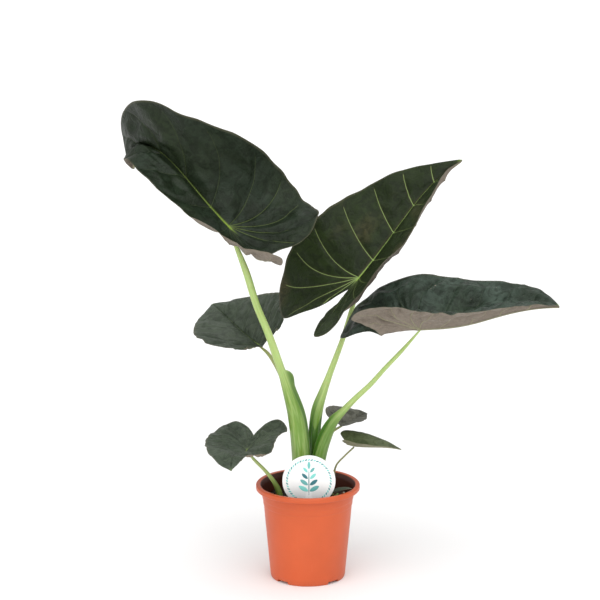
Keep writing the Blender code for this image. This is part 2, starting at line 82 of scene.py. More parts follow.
# Each leaf: joint with the stalk (m); heading from +X toward +Y, rise and roll (degrees); length (m);
# pairs for the left and right halves: half width (m) and lobe length; fullness of lobes and of tip; depth
# of the notch behind the joint, as a share of the length; midrib pitch at the lobes, the middle and the
# tip; sway and twist at the tip; and for each half the fold at the midrib and the curl toward the margin
# at the four stations (degrees).
LEAVES = {
    1: dict(joint=(-0.127, -0.020, 0.592), heading=148, rise=36, roll=23, length=0.300,
            half=(0.073, 0.127), lobe=(1.25, 0.9), full=(0.85, 0.55), notch=0.30, bend=(-50, -10, -110),
            sway=-15, twist=-20, fold_left=(0, 0, 0, 12), curl_left=(92, 68, 24, 0),
            fold_right=(5, 10, 65, 50), curl_right=(25, 10, 25, 40)),
    2: dict(joint=(0.083, 0.030, 0.496), heading=29, rise=43, roll=-12, length=0.257,
            half=(0.130, 0.099), lobe=(1.0, 1.2), full=(1.1, 0.95), notch=0.10, bend=(-20, 10, -10),
            sway=-10, twist=5, fold_left=(-25, 15, 15, 15), curl_left=(25, 20, 15, 0),
            fold_right=(17, 25, 21, 15), curl_right=(0, 5, -5, 15)),
    3: dict(joint=(0.177, -0.075, 0.437), heading=-6, rise=5, roll=6, length=0.224,
            half=(0.101, 0.096), lobe=(1.2, 0.80), full=(0.65, 0.5), notch=0.28, bend=(40, 13, -3),
            sway=0, twist=0, fold_left=(30, 63, 48, 28), curl_left=(-10, -25, -20, -10),
            fold_right=(64, 35, 20, 6), curl_right=(-32, -20, -10, 0)),
    4: dict(joint=(-0.082, 0.100, 0.366), heading=114, rise=1, roll=23, length=0.174,
            half=(0.111, 0.095), lobe=(0.85, 0.85), full=(0.7, 0.8), notch=0.10, bend=(-20, 15, 10),
            sway=0, twist=0, fold_left=(25, 30, 25, 5), curl_left=(10, 10, 5, 5),
            fold_right=(40, 35, 25, 0), curl_right=(10, 5, 5, 5)),
    5: dict(joint=(-0.099, -0.040, 0.226), heading=255, rise=-10, roll=-4, length=0.126,
            half=(0.058, 0.068), lobe=(1.45, 1.3), full=(1.1, 0.65), notch=0.35, bend=(-20, 30, -35),
            sway=10, twist=0, fold_left=(-5, 15, -5, 0), curl_left=(0, 5, 0, 0),
            fold_right=(0, 15, 10, -5), curl_right=(0, 5, 5, 5)),
    6: dict(joint=(0.060, 0.070, 0.239), heading=32, rise=9, roll=-11, length=0.047,
            half=(0.039, 0.046), lobe=(1.0, 1.0), full=(0.85, 0.85), notch=0.20, bend=(0, 5, 5),
            sway=0, twist=0, fold_left=(35, 25, 20, 20), curl_left=(5, 0, 0, 5),
            fold_right=(25, 25, 20, 20), curl_right=(5, 5, 5, 5)),
    7: dict(joint=(0.076, 0.030, 0.212), heading=-3, rise=-6, roll=5, length=0.078,
            half=(0.036, 0.030), lobe=(0.75, 0.6), full=(0.7, 0.8), notch=0.15, bend=(-15, 6, -6),
            sway=0, twist=0, fold_left=(32, 36, 25, 10), curl_left=(-10, -10, 0, 0),
            fold_right=(30, 22, 16, 10), curl_right=(0, 0, 0, 0)),
    8: dict(joint=(0.048, -0.036, 0.153), heading=-20, rise=20, roll=0, length=0.026,
            half=(0.012, 0.012), lobe=(0.8, 0.8), full=(0.8, 0.8), notch=0.15, bend=(-10, 5, -10),
            sway=0, twist=0, fold_left=(20, 25, 20, 10), curl_left=(0, 0, 0, 0),
            fold_right=(20, 25, 20, 10), curl_right=(0, 0, 0, 0)),
}
# How each blade is dressed: material; strength of the vein colour in the left half's lobe and tip and the
# right half's lobe and tip; heights of quilting, pleats, ruffles and of the left and right turned margins
# (m); share by which the margin waves in and out; waves along a half margin, and their phase.
DRESS = {
    1: dict(skin="dark", veins=(0.10, 0.08, 0.42, 0.10), quilt=0.0060, pleat=0.0075, ruffle=0.0034,
            turn=(0.0, 0.0), wavy=0.017, waves=5.0, phase=0.6),
    2: dict(skin="olive", veins=(0.70, 0.70, 0.22, 0.30), quilt=0.0032, pleat=0.0040, ruffle=0.0030,
            turn=(0.0, 0.012), wavy=0.014, waves=5.0, phase=2.1),
    3: dict(skin="slate", veins=(0.10, 0.08, 0.12, 0.10), quilt=0.0034, pleat=0.0130, ruffle=0.0008,
            turn=(0.0, 0.0), wavy=0.005, waves=8.0, phase=1.2),
    4: dict(skin="grey", veins=(0.15, 0.12, 0.15, 0.12), quilt=0.0036, pleat=0.0050, ruffle=0.0010,
            turn=(0.0, 0.0), wavy=0.006, waves=6.0, phase=0.2),
    5: dict(skin="grey", veins=(0.30, 0.22, 0.30, 0.22), quilt=0.0030, pleat=0.0048, ruffle=0.0014,
            turn=(0.005, 0.0), wavy=0.012, waves=6.5, phase=3.0),
    6: dict(skin="dusk", veins=(0.15, 0.15, 0.15, 0.15), quilt=0.0010, pleat=0.0014, ruffle=0.0012,
            turn=(0.0, 0.0), wavy=0.012, waves=4.5, phase=1.0),
    7: dict(skin="young", veins=(0.20, 0.20, 0.20, 0.20), quilt=0.0004, pleat=0.0008, ruffle=0.0006,
            turn=(0.0, 0.0), wavy=0.01, waves=4.0, phase=0.0),
    8: dict(skin="grey", veins=(0.30, 0.30, 0.30, 0.30), quilt=0.0002, pleat=0.0002, ruffle=0.0003,
            turn=(0.0, 0.0), wavy=0.01, waves=3.0, phase=0.0),
}
# Mesh steps of each half blade: from midrib to margin, and along the margin.
GRID = {1: (40, 130), 2: (40, 130), 3: (40, 130), 4: (28, 100), 5: (24, 90),
        6: (16, 60), 7: (16, 60), 8: (10, 36)}

# Each stalk from its foot up: (x, y, z, radius, wing), where the wing is how far the sheath's edge
# stands out.  The last point, at the blade's joint, is added from the leaf.
STALKS = {
    1: dict(wing_angle=25, points=[
        (-0.009, -0.004, STALK_FOOT, 0.0145, 0.000), (-0.010, -0.004, 0.181, 0.0150, 0.000),
        (-0.013, -0.005, 0.232, 0.0150, 0.001), (-0.019, -0.006, 0.272, 0.0135, 0.003),
        (-0.033, -0.010, 0.318, 0.0085, 0.006), (-0.041, -0.012, 0.345, 0.0068, 0.0062),
        (-0.0428, -0.0125, 0.3508, 0.0067, 0.000), (-0.050, -0.014, 0.373, 0.0066, 0.000),
        (-0.063, -0.016, 0.412, 0.0061, 0.000),
        (-0.082, -0.018, 0.460, 0.0058, 0.000), (-0.099, -0.020, 0.517, 0.0056, 0.000)]),
    2: dict(wing_angle=200, points=[
        (0.008, 0.021, STALK_FOOT, 0.0095, 0.000), (0.009, 0.021, 0.190, 0.0100, 0.000),
        (0.011, 0.020, 0.240, 0.0100, 0.000), (0.017, 0.020, 0.281, 0.0085, 0.002),
        (0.025, 0.021, 0.305, 0.0065, 0.002), (0.035, 0.022, 0.335, 0.0053, 0.000),
        (0.046, 0.023, 0.365, 0.0047, 0.000), (0.056, 0.024, 0.393, 0.0042, 0.000),
        (0.071, 0.026, 0.443, 0.0040, 0.000)]),
    3: dict(wing_angle=165, points=[
        (0.0165, -0.004, STALK_FOOT, 0.0095, 0.000), (0.0175, -0.004, 0.190, 0.0102, 0.001),
        (0.029, -0.004, 0.235, 0.0092, 0.004), (0.043, -0.010, 0.266, 0.0070, 0.003),
        (0.059, -0.016, 0.287, 0.0054, 0.000), (0.075, -0.022, 0.306, 0.0047, 0.000),
        (0.100, -0.034, 0.334, 0.0041, 0.000), (0.124, -0.048, 0.366, 0.0036, 0.000),
        (0.147, -0.061, 0.395, 0.0032, 0.000)]),
    4: dict(wing_angle=0, points=[
        (-0.019, 0.021, STALK_FOOT, 0.0052, 0.000), (-0.019, 0.023, 0.190, 0.0052, 0.000),
        (-0.022, 0.031, 0.240, 0.0046, 0.000), (-0.029, 0.043, 0.279, 0.0039, 0.000),
        (-0.039, 0.058, 0.309, 0.0034, 0.000), (-0.053, 0.074, 0.337, 0.0031, 0.000),
        (-0.066, 0.087, 0.354, 0.0029, 0.000)]),
    5: dict(wing_angle=150, points=[
        (-0.044, -0.018, SOIL_FOOT, 0.0052, 0.002), (-0.048, -0.021, 0.153, 0.0043, 0.002),
        (-0.057, -0.027, 0.171, 0.0035, 0.000), (-0.071, -0.034, 0.191, 0.0029, 0.000),
        (-0.086, -0.038, 0.208, 0.0026, 0.000)]),
    6: dict(wing_angle=0, points=[
        (0.021, 0.036, SOIL_FOOT, 0.0042, 0.000), (0.021, 0.037, 0.160, 0.0038, 0.000),
        (0.026, 0.046, 0.195, 0.0032, 0.000), (0.035, 0.058, 0.222, 0.0027, 0.000)]),
    7: dict(wing_angle=0, points=[
        (0.041, 0.008, SOIL_FOOT, 0.0023, 0.000), (0.042, 0.010, 0.160, 0.0018, 0.000),
        (0.047, 0.014, 0.184, 0.0015, 0.000), (0.061, 0.021, 0.198, 0.0014, 0.000)]),
    8: dict(wing_angle=0, points=[
        (0.042, -0.025, SOIL_FOOT, 0.0024, 0.000), (0.043, -0.029, 0.142, 0.0018, 0.000)]),
}
STALK_END = 0.0014              # radius of a stalk's end under the blade
BLADE_GAP = 0.0009              # from a stalk's end to the middle of its blade
RING_STEP = 0.0022              # distance between a stalk's rings
WING_SPREAD = 0.55              # radians of the stalk's round that the wing takes up
STALK_TAN = {4: 0.55, 5: 0.25, 6: 0.60, 7: 0.85}    # how far the thin old stalks have turned tan


# ---------------------------------------------------------------- numbers
def smooth_through(knots, values, at):
    """Cubic Hermite curve through values at knots, its slopes weighted from the neighbouring stretches."""
    knots = np.asarray(knots, float)
    values = np.asarray(values, float).reshape(len(knots), -1)
    at = np.asarray(at, float)
    places = np.clip(at.ravel(), knots[0], knots[-1])
    steps = np.diff(knots)[:, None]
    slopes = np.diff(values, axis=0) / steps
    inner = (slopes[:-1] * steps[1:] + slopes[1:] * steps[:-1]) / (steps[:-1] + steps[1:])
    tangents = np.vstack([slopes[:1], inner, slopes[-1:]])
    i = np.clip(np.searchsorted(knots, places, side="right") - 1, 0, len(knots) - 2)
    step = steps[i]
    s = ((places - knots[i]) / step[:, 0])[:, None]
    curve = ((1 + 2 * s) * (1 - s) ** 2 * values[i] + s * (1 - s) ** 2 * step * tangents[i]
             + s * s * (3 - 2 * s) * values[i + 1] + s * s * (s - 1) * step * tangents[i + 1])
    curve = curve.reshape(at.shape + (values.shape[1],))
    return curve[..., 0] if values.shape[1] == 1 else curve


def ease(low, high, value):
    """Smooth step from 0 at low to 1 at high: three squares less two cubes of the share."""
    share = np.clip((value - low) / (high - low), 0, 1)
    return share * share * (3 - 2 * share)


def bell(value, centre, width):
    """Bell curve: e to the minus square of the distance from centre over width."""
    return np.exp(-((value - centre) / width) ** 2)


def lattice_value(cells, seed):
    """Repeatable value from -1 to 1 for each whole-number cell: the odd part of a large sine."""
    mixed = np.sin(cells @ np.array([127.1, 311.7, 74.7]) + seed * 19.19) * 43758.5453
    return 2 * (mixed - np.floor(mixed)) - 1


def soft_noise(points, size, seed=0):
    """Value noise: lattice values at the corners of cells of a given size, blended with smooth steps."""
    scaled = points / size
    cell = np.floor(scaled)
    share = scaled - cell
    share = share * share * (3 - 2 * share)
    total = np.zeros(points.shape[:-1])
    for dx in (0, 1):
        for dy in (0, 1):
            for dz in (0, 1):
                corner = np.array([dx, dy, dz])
                weight = np.prod(np.where(corner, share, 1 - share), axis=-1)
                total += weight * lattice_value(cell + corner, seed)
    return total


# ---------------------------------------------------------------- meshes
def grid_faces(rows, columns, around=False, first=0):
    """Corner numbers of the faces of a grid stored row by row; around joins the last column to the first."""
    last = columns if around else columns - 1
    row, column = np.meshgrid(np.arange(rows - 1), np.arange(last), indexing="ij")
    low = row * columns
    high = low + columns
    after = (column + 1) % columns
    faces = np.stack([low + column, low + after, high + after, high + column], -1)
    return faces.reshape(-1, 4) + first


def many_faces(faces, bodies, size):
    """The faces of one body repeated for a number of bodies of size points each."""
    return (faces[None] + np.arange(bodies)[:, None, None] * size).reshape(-1, 4)


def cap_faces(ring, point):
    """Faces from each side of a ring of points to one more point, as quads that hold the point twice."""
    middle = np.full(len(ring), point)
    return np.stack([middle, middle, np.roll(ring, -1), ring], -1)


def with_ends(rows):
    """The rows, and then the first and the last again for the middle points of the two ends."""
    return np.concatenate([rows, rows[:1], rows[-1:]])


def split_faces(faces):
    """Quads as they are, and triangles from quads with two equal neighbours; slivers are dropped."""
    faces = np.asarray(faces)
    same = faces == np.roll(faces, -1, axis=1)
    repeats = same.sum(axis=1)
    crossed = (faces[:, 0] == faces[:, 2]) | (faces[:, 1] == faces[:, 3])
    quads = faces[(repeats == 0) & ~crossed]
    bent = (repeats == 1) & ~crossed
    start = same[bent].argmax(axis=1)[:, None] + 1
    triangles = np.take_along_axis(faces[bent], (start + np.arange(3)) % 4, axis=1)
    return quads, triangles


def same_places(vertices):
    """Which points are kept when those in the same place become one, and each point's new number."""
    keys = np.round(vertices * 1e7).astype(np.int64)
    _, kept, back = np.unique(keys, axis=0, return_index=True, return_inverse=True)
    return kept, back.reshape(-1)


def weld(vertices, faces):
    """Points in the same place become one: the points kept, the faces, and which points were kept."""
    kept, back = same_places(vertices)
    return vertices[kept], back[faces], kept


def point_normals(vertices, faces):
    """Unit normal at each point: the sum of its faces' crossed diagonals, so large faces count more."""
    a, b, c, d = (vertices[faces[:, k]] for k in range(4))
    flat = np.cross(c - a, d - b)
    normals = np.zeros_like(vertices)
    for k in range(4):
        np.add.at(normals, faces[:, k], flat)
    return normals / np.maximum(np.linalg.norm(normals, axis=1, keepdims=True), 1e-12)


def put_mesh(name, vertices, faces, attributes=None, sharp=None):
    """A new object whose mesh holds the points and faces in world places, with float or vector attributes."""
    quads, triangles = split_faces(faces)
    corners = np.concatenate([quads.ravel(), triangles.ravel()]).astype(np.int32)
    sizes = np.concatenate([np.full(len(quads), 4), np.full(len(triangles), 3)])
    mesh = bpy.data.meshes.new(name)
    mesh.vertices.add(len(vertices))
    mesh.loops.add(len(corners))
    mesh.polygons.add(len(sizes))
    mesh.vertices.foreach_set("co", np.asarray(vertices, np.float32).ravel())
    mesh.loops.foreach_set("vertex_index", corners)
    mesh.polygons.foreach_set("loop_start", np.concatenate([[0], np.cumsum(sizes)[:-1]]).astype(np.int32))
    mesh.polygons.foreach_set("use_smooth", np.ones(len(sizes), bool))
    mesh.update(calc_edges=True)
    mesh.validate()
    for key, values in (attributes or {}).items():
        values = np.asarray(values, np.float32)
        if values.ndim == 1:
            mesh.attributes.new(key, "FLOAT", "POINT").data.foreach_set("value", values)
        else:
            mesh.attributes.new(key, "FLOAT_VECTOR", "POINT").data.foreach_set("vector", values.ravel())
    if sharp is not None:
        mesh.set_sharp_from_angle(angle=math.radians(sharp))
    made = bpy.data.objects.new(name, mesh)
    bpy.context.scene.collection.objects.link(made)
    return made


def finish_piece(piece, material, slot, *nodes):
    """Gives the piece its material, hides the frame nodes that it stands for, and makes it ride; slot is not
    used.
    """
    piece.data.materials.clear()
    piece.data.materials.append(material)
    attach(piece, "root")
    if nodes:
        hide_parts(*nodes)
    return piece


def turned(profile, sides, centre=(0.0, 0.0), radii=(1.0, 1.0)):
    """Closed surface of a profile of (radius, height) turned round a vertical line, its ends on the axis."""
    profile = np.asarray(profile, float)
    angles = 2 * np.pi * np.arange(sides) / sides
    x = centre[0] + radii[0] * profile[:, :1] * np.cos(angles)
    y = centre[1] + radii[1] * profile[:, :1] * np.sin(angles)
    z = np.repeat(profile[:, 1:], sides, axis=1)
    vertices = np.stack([x, y, z], -1).reshape(-1, 3)
    return vertices, grid_faces(len(profile), sides, around=True)


def rounded_profile(points, radius, steps=4):
    """The profile with each inner corner replaced by a short parabola that starts and ends radius away."""
    points = np.asarray(points, float)
    before, corner, after = points[:-2], points[1:-1], points[2:]
    back = before - corner
    ahead = after - corner
    back_length = np.linalg.norm(back, axis=1, keepdims=True)
    ahead_length = np.linalg.norm(ahead, axis=1, keepdims=True)
    reach = np.minimum(radius, 0.45 * np.minimum(back_length, ahead_length))
    start = corner + back / back_length * reach
    end = corner + ahead / ahead_length * reach
    s = np.linspace(0, 1, steps + 1)[None, :, None]
    arcs = (1 - s) ** 2 * start[:, None] + 2 * s * (1 - s) * corner[:, None] + s * s * end[:, None]
    return np.vstack([points[:1], arcs.reshape(-1, 2), points[-1:]])


# ---------------------------------------------------------------- materials
class Nodes:
    """Short hand for building one material's node tree."""

    def __init__(self, name):
        self.material = bpy.data.materials.new(name)
        self.material.use_nodes = True
        self.tree = self.material.node_tree
        self.shader = self.tree.nodes["Principled BSDF"]
        self.object = self.add("ShaderNodeTexCoord").outputs["Object"]

    def add(self, kind, **settings):
        """A new node with its plain settings."""
        node = self.tree.nodes.new(kind)
        for key, value in settings.items():
            setattr(node, key, value)
        return node

    def feed(self, socket, value):
        """Links an output to the socket, or sets a plain value on it."""
        if isinstance(value, bpy.types.NodeSocket):
            self.tree.links.new(value, socket)
        else:
            socket.default_value = value

    def math(self, kind, a, b, clamp=False):
        """One step of arithmetic."""
        node = self.add("ShaderNodeMath", operation=kind, use_clamp=clamp)
        self.feed(node.inputs[0], a)
        self.feed(node.inputs[1], b)
        return node.outputs[0]

    def mix(self, factor, a, b):
        """Two colours mixed."""
        node = self.add("ShaderNodeMix", data_type="RGBA")
        self.feed(node.inputs[0], factor)
        self.feed(node.inputs[6], a)
        self.feed(node.inputs[7], b)
        return node.outputs[2]

    def noise(self, scale, detail=3.0, rough=0.5, vector=None, distortion=0.0):
        """Noise value, about 0 to 1, with cells of one over scale metres."""
        node = self.add("ShaderNodeTexNoise")
        self.feed(node.inputs["Vector"], self.object if vector is None else vector)
        node.inputs["Scale"].default_value = scale
        node.inputs["Detail"].default_value = detail
        node.inputs["Roughness"].default_value = rough
        node.inputs["Distortion"].default_value = distortion
        return node.outputs["Fac"]

    def cells(self, scale, feature="F1"):
        """Distances in Voronoi cells of about one over scale metres."""
        node = self.add("ShaderNodeTexVoronoi", feature=feature)
        self.feed(node.inputs["Vector"], self.object)
        node.inputs["Scale"].default_value = scale
        return node.outputs["Distance"]

    def bands(self, scale, profile, distortion, detail=2.0):
        """Level bands up the piece."""
        node = self.add("ShaderNodeTexWave", wave_type="BANDS", bands_direction="Z", wave_profile=profile)
        self.feed(node.inputs["Vector"], self.object)
        node.inputs["Scale"].default_value = scale
        node.inputs["Distortion"].default_value = distortion
        node.inputs["Detail"].default_value = detail
        return node.outputs["Fac"]

    def ramp(self, value, low, high, start=0.0, end=1.0):
        """The value from low to high, moved to start to end and held there."""
        node = self.add("ShaderNodeMapRange")
        self.feed(node.inputs["Value"], value)
        for key, number in (("From Min", low), ("From Max", high), ("To Min", start), ("To Max", end)):
            node.inputs[key].default_value = number
        return node.outputs["Result"]

    def attribute(self, name, output="Fac"):
        """A mesh attribute of the piece."""
        return self.add("ShaderNodeAttribute", attribute_name=name).outputs[output]

    def bump(self, height, distance, strength=1.0, under=None):
        """Bump of a height field."""
        node = self.add("ShaderNodeBump")
        node.inputs["Strength"].default_value = strength
        node.inputs["Distance"].default_value = distance
        self.feed(node.inputs["Height"], height)
        if under is not None:
            self.feed(node.inputs["Normal"], under)
        return node.outputs["Normal"]

    def dress(self, colour, roughness, normal=None, **plain):
        """Feeds the shader, and returns the material."""
        self.feed(self.shader.inputs["Base Color"], colour)
        self.feed(self.shader.inputs["Roughness"], roughness)
        if normal is not None:
            self.feed(self.shader.inputs["Normal"], normal)
        for key, value in plain.items():
            self.shader.inputs[key.replace("_", " ")].default_value = value
        return self.material


def shade(colour, factor):
    """A colour made darker or lighter."""
    return (*(min(1.0, c * factor) for c in colour[:3]), 1.0)


def linear(red, green, blue):
    """Linear colour from screen values of 0 to 255."""
    values = np.array([red, green, blue]) / 255
    bent = np.where(values <= 0.04045, values / 12.92, ((values + 0.055) / 1.055) ** 2.4)
    return (*bent.tolist(), 1.0)


# Blade finishes: top, second top tone, patch, vein and underside colours.
SKINS = {
    "dark": dict(top=linear(28, 37, 22), second=linear(38, 49, 37), patch=linear(38, 47, 20),
                 vein=linear(120, 136, 74), under=linear(128, 118, 106)),
    "slate": dict(top=linear(38, 48, 37), second=linear(66, 80, 70), patch=linear(38, 52, 24),
                  vein=linear(120, 136, 84), under=linear(134, 124, 112)),
    "olive": dict(top=linear(26, 37, 12), second=linear(37, 50, 20), patch=linear(92, 76, 58),
                  vein=linear(150, 176, 104), under=linear(124, 114, 102)),
    "dusk": dict(top=linear(94, 96, 86), second=linear(114, 114, 104), patch=linear(98, 94, 82),
                 vein=linear(124, 130, 104), under=linear(136, 128, 114)),
    "grey": dict(top=linear(62, 72, 58), second=linear(78, 88, 74), patch=linear(62, 72, 50),
                 vein=linear(120, 134, 96), under=linear(136, 128, 114)),
    "young": dict(top=linear(80, 92, 58), second=linear(106, 116, 84), patch=linear(96, 106, 64),
                  vein=linear(130, 150, 84), under=linear(150, 150, 122)),
}


def blade_material(name, settings):
    """Leaf skin: mottled green above with painted shade in the crease valleys, pale mauve below, with pale
    veins and a fine net of small veins.
    """
    skin = SKINS[name]
    n = Nodes("leaf_" + name)
    broad = n.ramp(n.noise(18, 3, 0.55, distortion=0.4), 0.35, 0.65)
    fine = n.noise(140, 4, 0.6)
    net = n.cells(230, "DISTANCE_TO_EDGE")
    net_line = n.ramp(net, 0.0, 0.10, 1.0, 0.0)
    top = n.mix(broad, skin["top"], skin["second"])
    patches = n.ramp(n.noise(9, 2, 0.5), 0.52, 0.72)
    top = n.mix(n.math("MULTIPLY", patches, 0.55), top, skin["patch"])
    top = n.mix(n.ramp(fine, 0.3, 0.7, 0.0, 0.35), top, shade(skin["top"], 0.62))
    top = n.mix(n.math("MULTIPLY", net_line, 0.22), top, shade(skin["second"], 1.25))
    creases = n.noise(52, 2, 0.5, distortion=1.6)
    # Painted shade: the top colour is darkened where the crease noise is low, in the valleys of the crease
    # bump.
    top = n.mix(n.ramp(creases, 0.40, 0.52, 0.55, 0.0), top, shade(skin["top"], 0.55))
    glow = n.attribute("glow")
    gap = n.attribute("gap")
    line = n.ramp(gap, 0.45, 1.35, 1.0, 0.0)
    halo = n.math("MULTIPLY", n.ramp(gap, 1.0, 5.0, 0.28, 0.0), n.attribute("strength"))
    top = n.mix(halo, top, skin["patch"])
    lit = n.math("ADD", n.math("MULTIPLY", line, n.attribute("strength")), glow, clamp=True)
    top = n.mix(lit, top, n.mix(glow, skin["vein"], linear(128, 156, 44)))
    low = n.mix(n.ramp(fine, 0.3, 0.7), skin["under"], shade(skin["under"], 0.78))
    low = n.mix(n.math("MULTIPLY", net_line, 0.30), low, shade(skin["under"], 1.25))
    low = n.mix(n.math("MULTIPLY", line, 0.45), low, linear(158, 162, 120))
    side = n.attribute("under")
    colour = n.mix(side, top, low)
    edge = n.attribute("edge")
    colour = n.mix(n.math("MULTIPLY", edge, 0.35), colour, linear(112, 108, 84))
    rough = n.math("ADD", n.ramp(fine, 0.2, 0.8, settings.roughness - 0.07, settings.roughness + 0.08),
                  n.math("MULTIPLY", side, 0.16))
    height = n.math("ADD", n.math("MULTIPLY", fine, 0.45), n.ramp(net, 0.0, 0.35, 0.0, 1.0))
    normal = n.bump(height, 0.00040, 0.5)
    normal = n.bump(creases, 0.0030, 0.6, normal)
    return n.dress(colour, rough, normal, Specular_IOR_Level=0.15)


def stalk_material(settings):
    """Juicy stalk skin: pale yellow green to leaf green, with fine lines that run along it."""
    n = Nodes("stalk_skin")
    grain = n.attribute("grain", "Vector")
    lines = n.noise(520, 2, 0.55, grain)
    wide = n.noise(150, 2, 0.5, grain)
    green = n.attribute("green")
    dark = n.attribute("dark")
    colour = n.mix(green, tuple(settings.pale), tuple(settings.sheath))
    streak = n.mix(green, linear(152, 182, 90), linear(98, 134, 46))
    colour = n.mix(n.ramp(wide, 0.35, 0.65, 0.0, 0.55), colour, streak)
    colour = n.mix(n.ramp(lines, 0.42, 0.62, 0.0, 0.30), colour, linear(198, 216, 146))
    # dark: darker green of the sheaths and wings; on stalk 2's foot it is partly painted shade.
    colour = n.mix(dark, colour, linear(62, 104, 26))
    blot = n.ramp(n.noise(45, 3, 0.6), 0.55, 0.75, 0.0, 0.25)
    colour = n.mix(blot, colour, linear(120, 150, 60))
    colour = n.mix(n.attribute("tan"), colour, linear(124, 116, 70))
    rough = n.ramp(lines, 0.3, 0.7, settings.roughness - 0.08, settings.roughness + 0.08)
    normal = n.bump(n.math("ADD", lines, n.math("MULTIPLY", wide, 1.5)), 0.0006, 0.5)
    return n.dress(colour, rough, normal, Subsurface_Weight=0.12, Subsurface_Scale=0.004)


def pot_material(settings):
    """Moulded plastic: faint flow clouds, fine turning lines and scuffs, with painted shade on the inner wall
    and dust where the soil was.
    """
    n = Nodes("moulded_pot")
    cloud = n.noise(14, 3, 0.5)
    grit = n.noise(900, 3, 0.6)
    position = n.add("ShaderNodeSeparateXYZ")
    n.feed(position.inputs[0], n.object)
    height = position.outputs["Z"]
    colour = n.mix(n.ramp(cloud, 0.3, 0.7), tuple(settings.plastic), shade(settings.plastic, 0.88))
    colour = n.mix(n.ramp(grit, 0.35, 0.75, 0.0, 0.10), colour, shade(settings.plastic, 0.78))
    stretched = n.add("ShaderNodeMapping")
    n.feed(stretched.inputs["Vector"], n.object)
    stretched.inputs["Scale"].default_value = (1.0, 1.0, 0.12)
    scuff = n.ramp(n.noise(160, 5, 0.7, stretched.outputs[0]), 0.62, 0.80, 0.0, 0.12)
    colour = n.mix(scuff, colour, linear(222, 138, 98))
    inner_shade_and_dust = n.attribute("inner_shade_and_dust")
    # Painted shade: the inner wall is darkened to 12 per cent of the plastic's colour.
    colour = n.mix(inner_shade_and_dust, colour, shade(settings.plastic, 0.12))
    dust = n.ramp(n.noise(220, 5, 0.7), 0.50, 0.72, 0.0, 0.7)
    colour = n.mix(n.math("MULTIPLY", dust, inner_shade_and_dust), colour, linear(42, 24, 17))
    foot = n.math("MULTIPLY", n.ramp(height, 0.0, 0.012, 0.5, 0.0), n.ramp(grit, 0.4, 0.7))
    colour = n.mix(foot, colour, linear(120, 70, 50))
    rough = n.ramp(grit, 0.3, 0.7, settings.roughness - 0.05, settings.roughness + 0.09)
    normal = n.bump(n.bands(260, "SIN", 0.6), 0.00006, 0.5)
    normal = n.bump(grit, 0.00018, 0.5, normal)
    normal = n.bump(n.noise(30, 2, 0.5), 0.0010, 0.35, normal)
    return n.dress(colour, rough, normal, Subsurface_Weight=0.05, Subsurface_Scale=0.003)


def soil_material(name, settings):
    """Peat: near black brown crumbs with fibres, and the shade attribute for bark and white grit."""
    n = Nodes(name)
    crumbs = n.cells(420)
    fibres = n.noise(240, 6, 0.75)
    colour = n.mix(n.ramp(fibres, 0.35, 0.7), tuple(settings.peat), shade(settings.peat, 2.6))
    colour = n.mix(n.ramp(crumbs, 0.0, 0.6, 0.6, 0.0), colour, shade(settings.peat, 0.45))
    bark = n.attribute("shade")
    colour = n.mix(n.ramp(bark, 0.45, 0.60), colour, linear(104, 66, 42))
    colour = n.mix(n.ramp(bark, 0.90, 0.95), colour, linear(205, 196, 182))
    normal = n.bump(n.math("ADD", crumbs, fibres), 0.0016, 0.9)
    return n.dress(colour, n.ramp(fibres, 0.3, 0.8, 0.75, 0.98), normal)


def corm_material(settings):
    """Corm: green brown skin with ring scars and dry papery shreds."""
    n = Nodes("corm_skin")
    bands = n.bands(48, "SAW", 5, 3)
    fibre = n.noise(190, 5, 0.7)
    colour = n.mix(n.ramp(fibre, 0.35, 0.7), tuple(settings.corm), linear(96, 74, 44))
    colour = n.mix(n.ramp(bands, 0.6, 0.95, 0.0, 0.6), colour, linear(58, 42, 26))
    height = n.math("ADD", n.math("MULTIPLY", bands, 0.6), fibre)
    return n.dress(colour, n.ramp(fibre, 0.3, 0.8, 0.45, 0.8), n.bump(height, 0.0012, 0.7))


def card_material(name, colour, settings):
    """Coated card: a clean print with the paper's tooth and a soft gloss."""
    n = Nodes(name)
    tooth = n.noise(1400, 3, 0.6)
    tint = n.mix(n.ramp(tooth, 0.3, 0.7, 0.0, 0.10), colour, shade(colour, 0.86))
    tint = n.mix(n.ramp(n.noise(40, 3, 0.5), 0.4, 0.75, 0.0, 0.10), tint, shade(colour, 0.9))
    tint = n.mix(n.attribute("tone"), tint, shade(settings.print_dark, 1.0))
    return n.dress(tint, n.ramp(tooth, 0.3, 0.7, 0.28, 0.40), n.bump(tooth, 0.00003, 0.4), Coat_Weight=0.15)


def floor_material():
    """Pale matt studio floor with a faint mottle."""
    n = Nodes("studio_floor")
    mottle = n.noise(3, 3, 0.5)
    colour = n.mix(mottle, (0.86, 0.86, 0.86, 1.0), (0.90, 0.90, 0.90, 1.0))
    return n.dress(colour, n.ramp(mottle, 0.0, 1.0, 0.75, 0.85), n.bump(n.noise(200), 0.0002, 0.1))


# ---------------------------------------------------------------- blades
def leaf_axes(leaf):
    """Midrib direction, left direction and upper normal of a leaf at its joint, by heading, rise, roll."""
    heading, rise, roll = (math.radians(leaf[k]) for k in ("heading", "rise", "roll"))
    level = np.array([math.cos(heading), math.sin(heading), 0.0])
    upright = np.array([0.0, 0.0, 1.0])
    ahead = math.cos(rise) * level + math.sin(rise) * upright
    up = math.cos(rise) * upright - math.sin(rise) * level
    left = np.cross(up, ahead)
    return ahead, left * math.cos(roll) - up * math.sin(roll), up * math.cos(roll) + left * math.sin(roll)


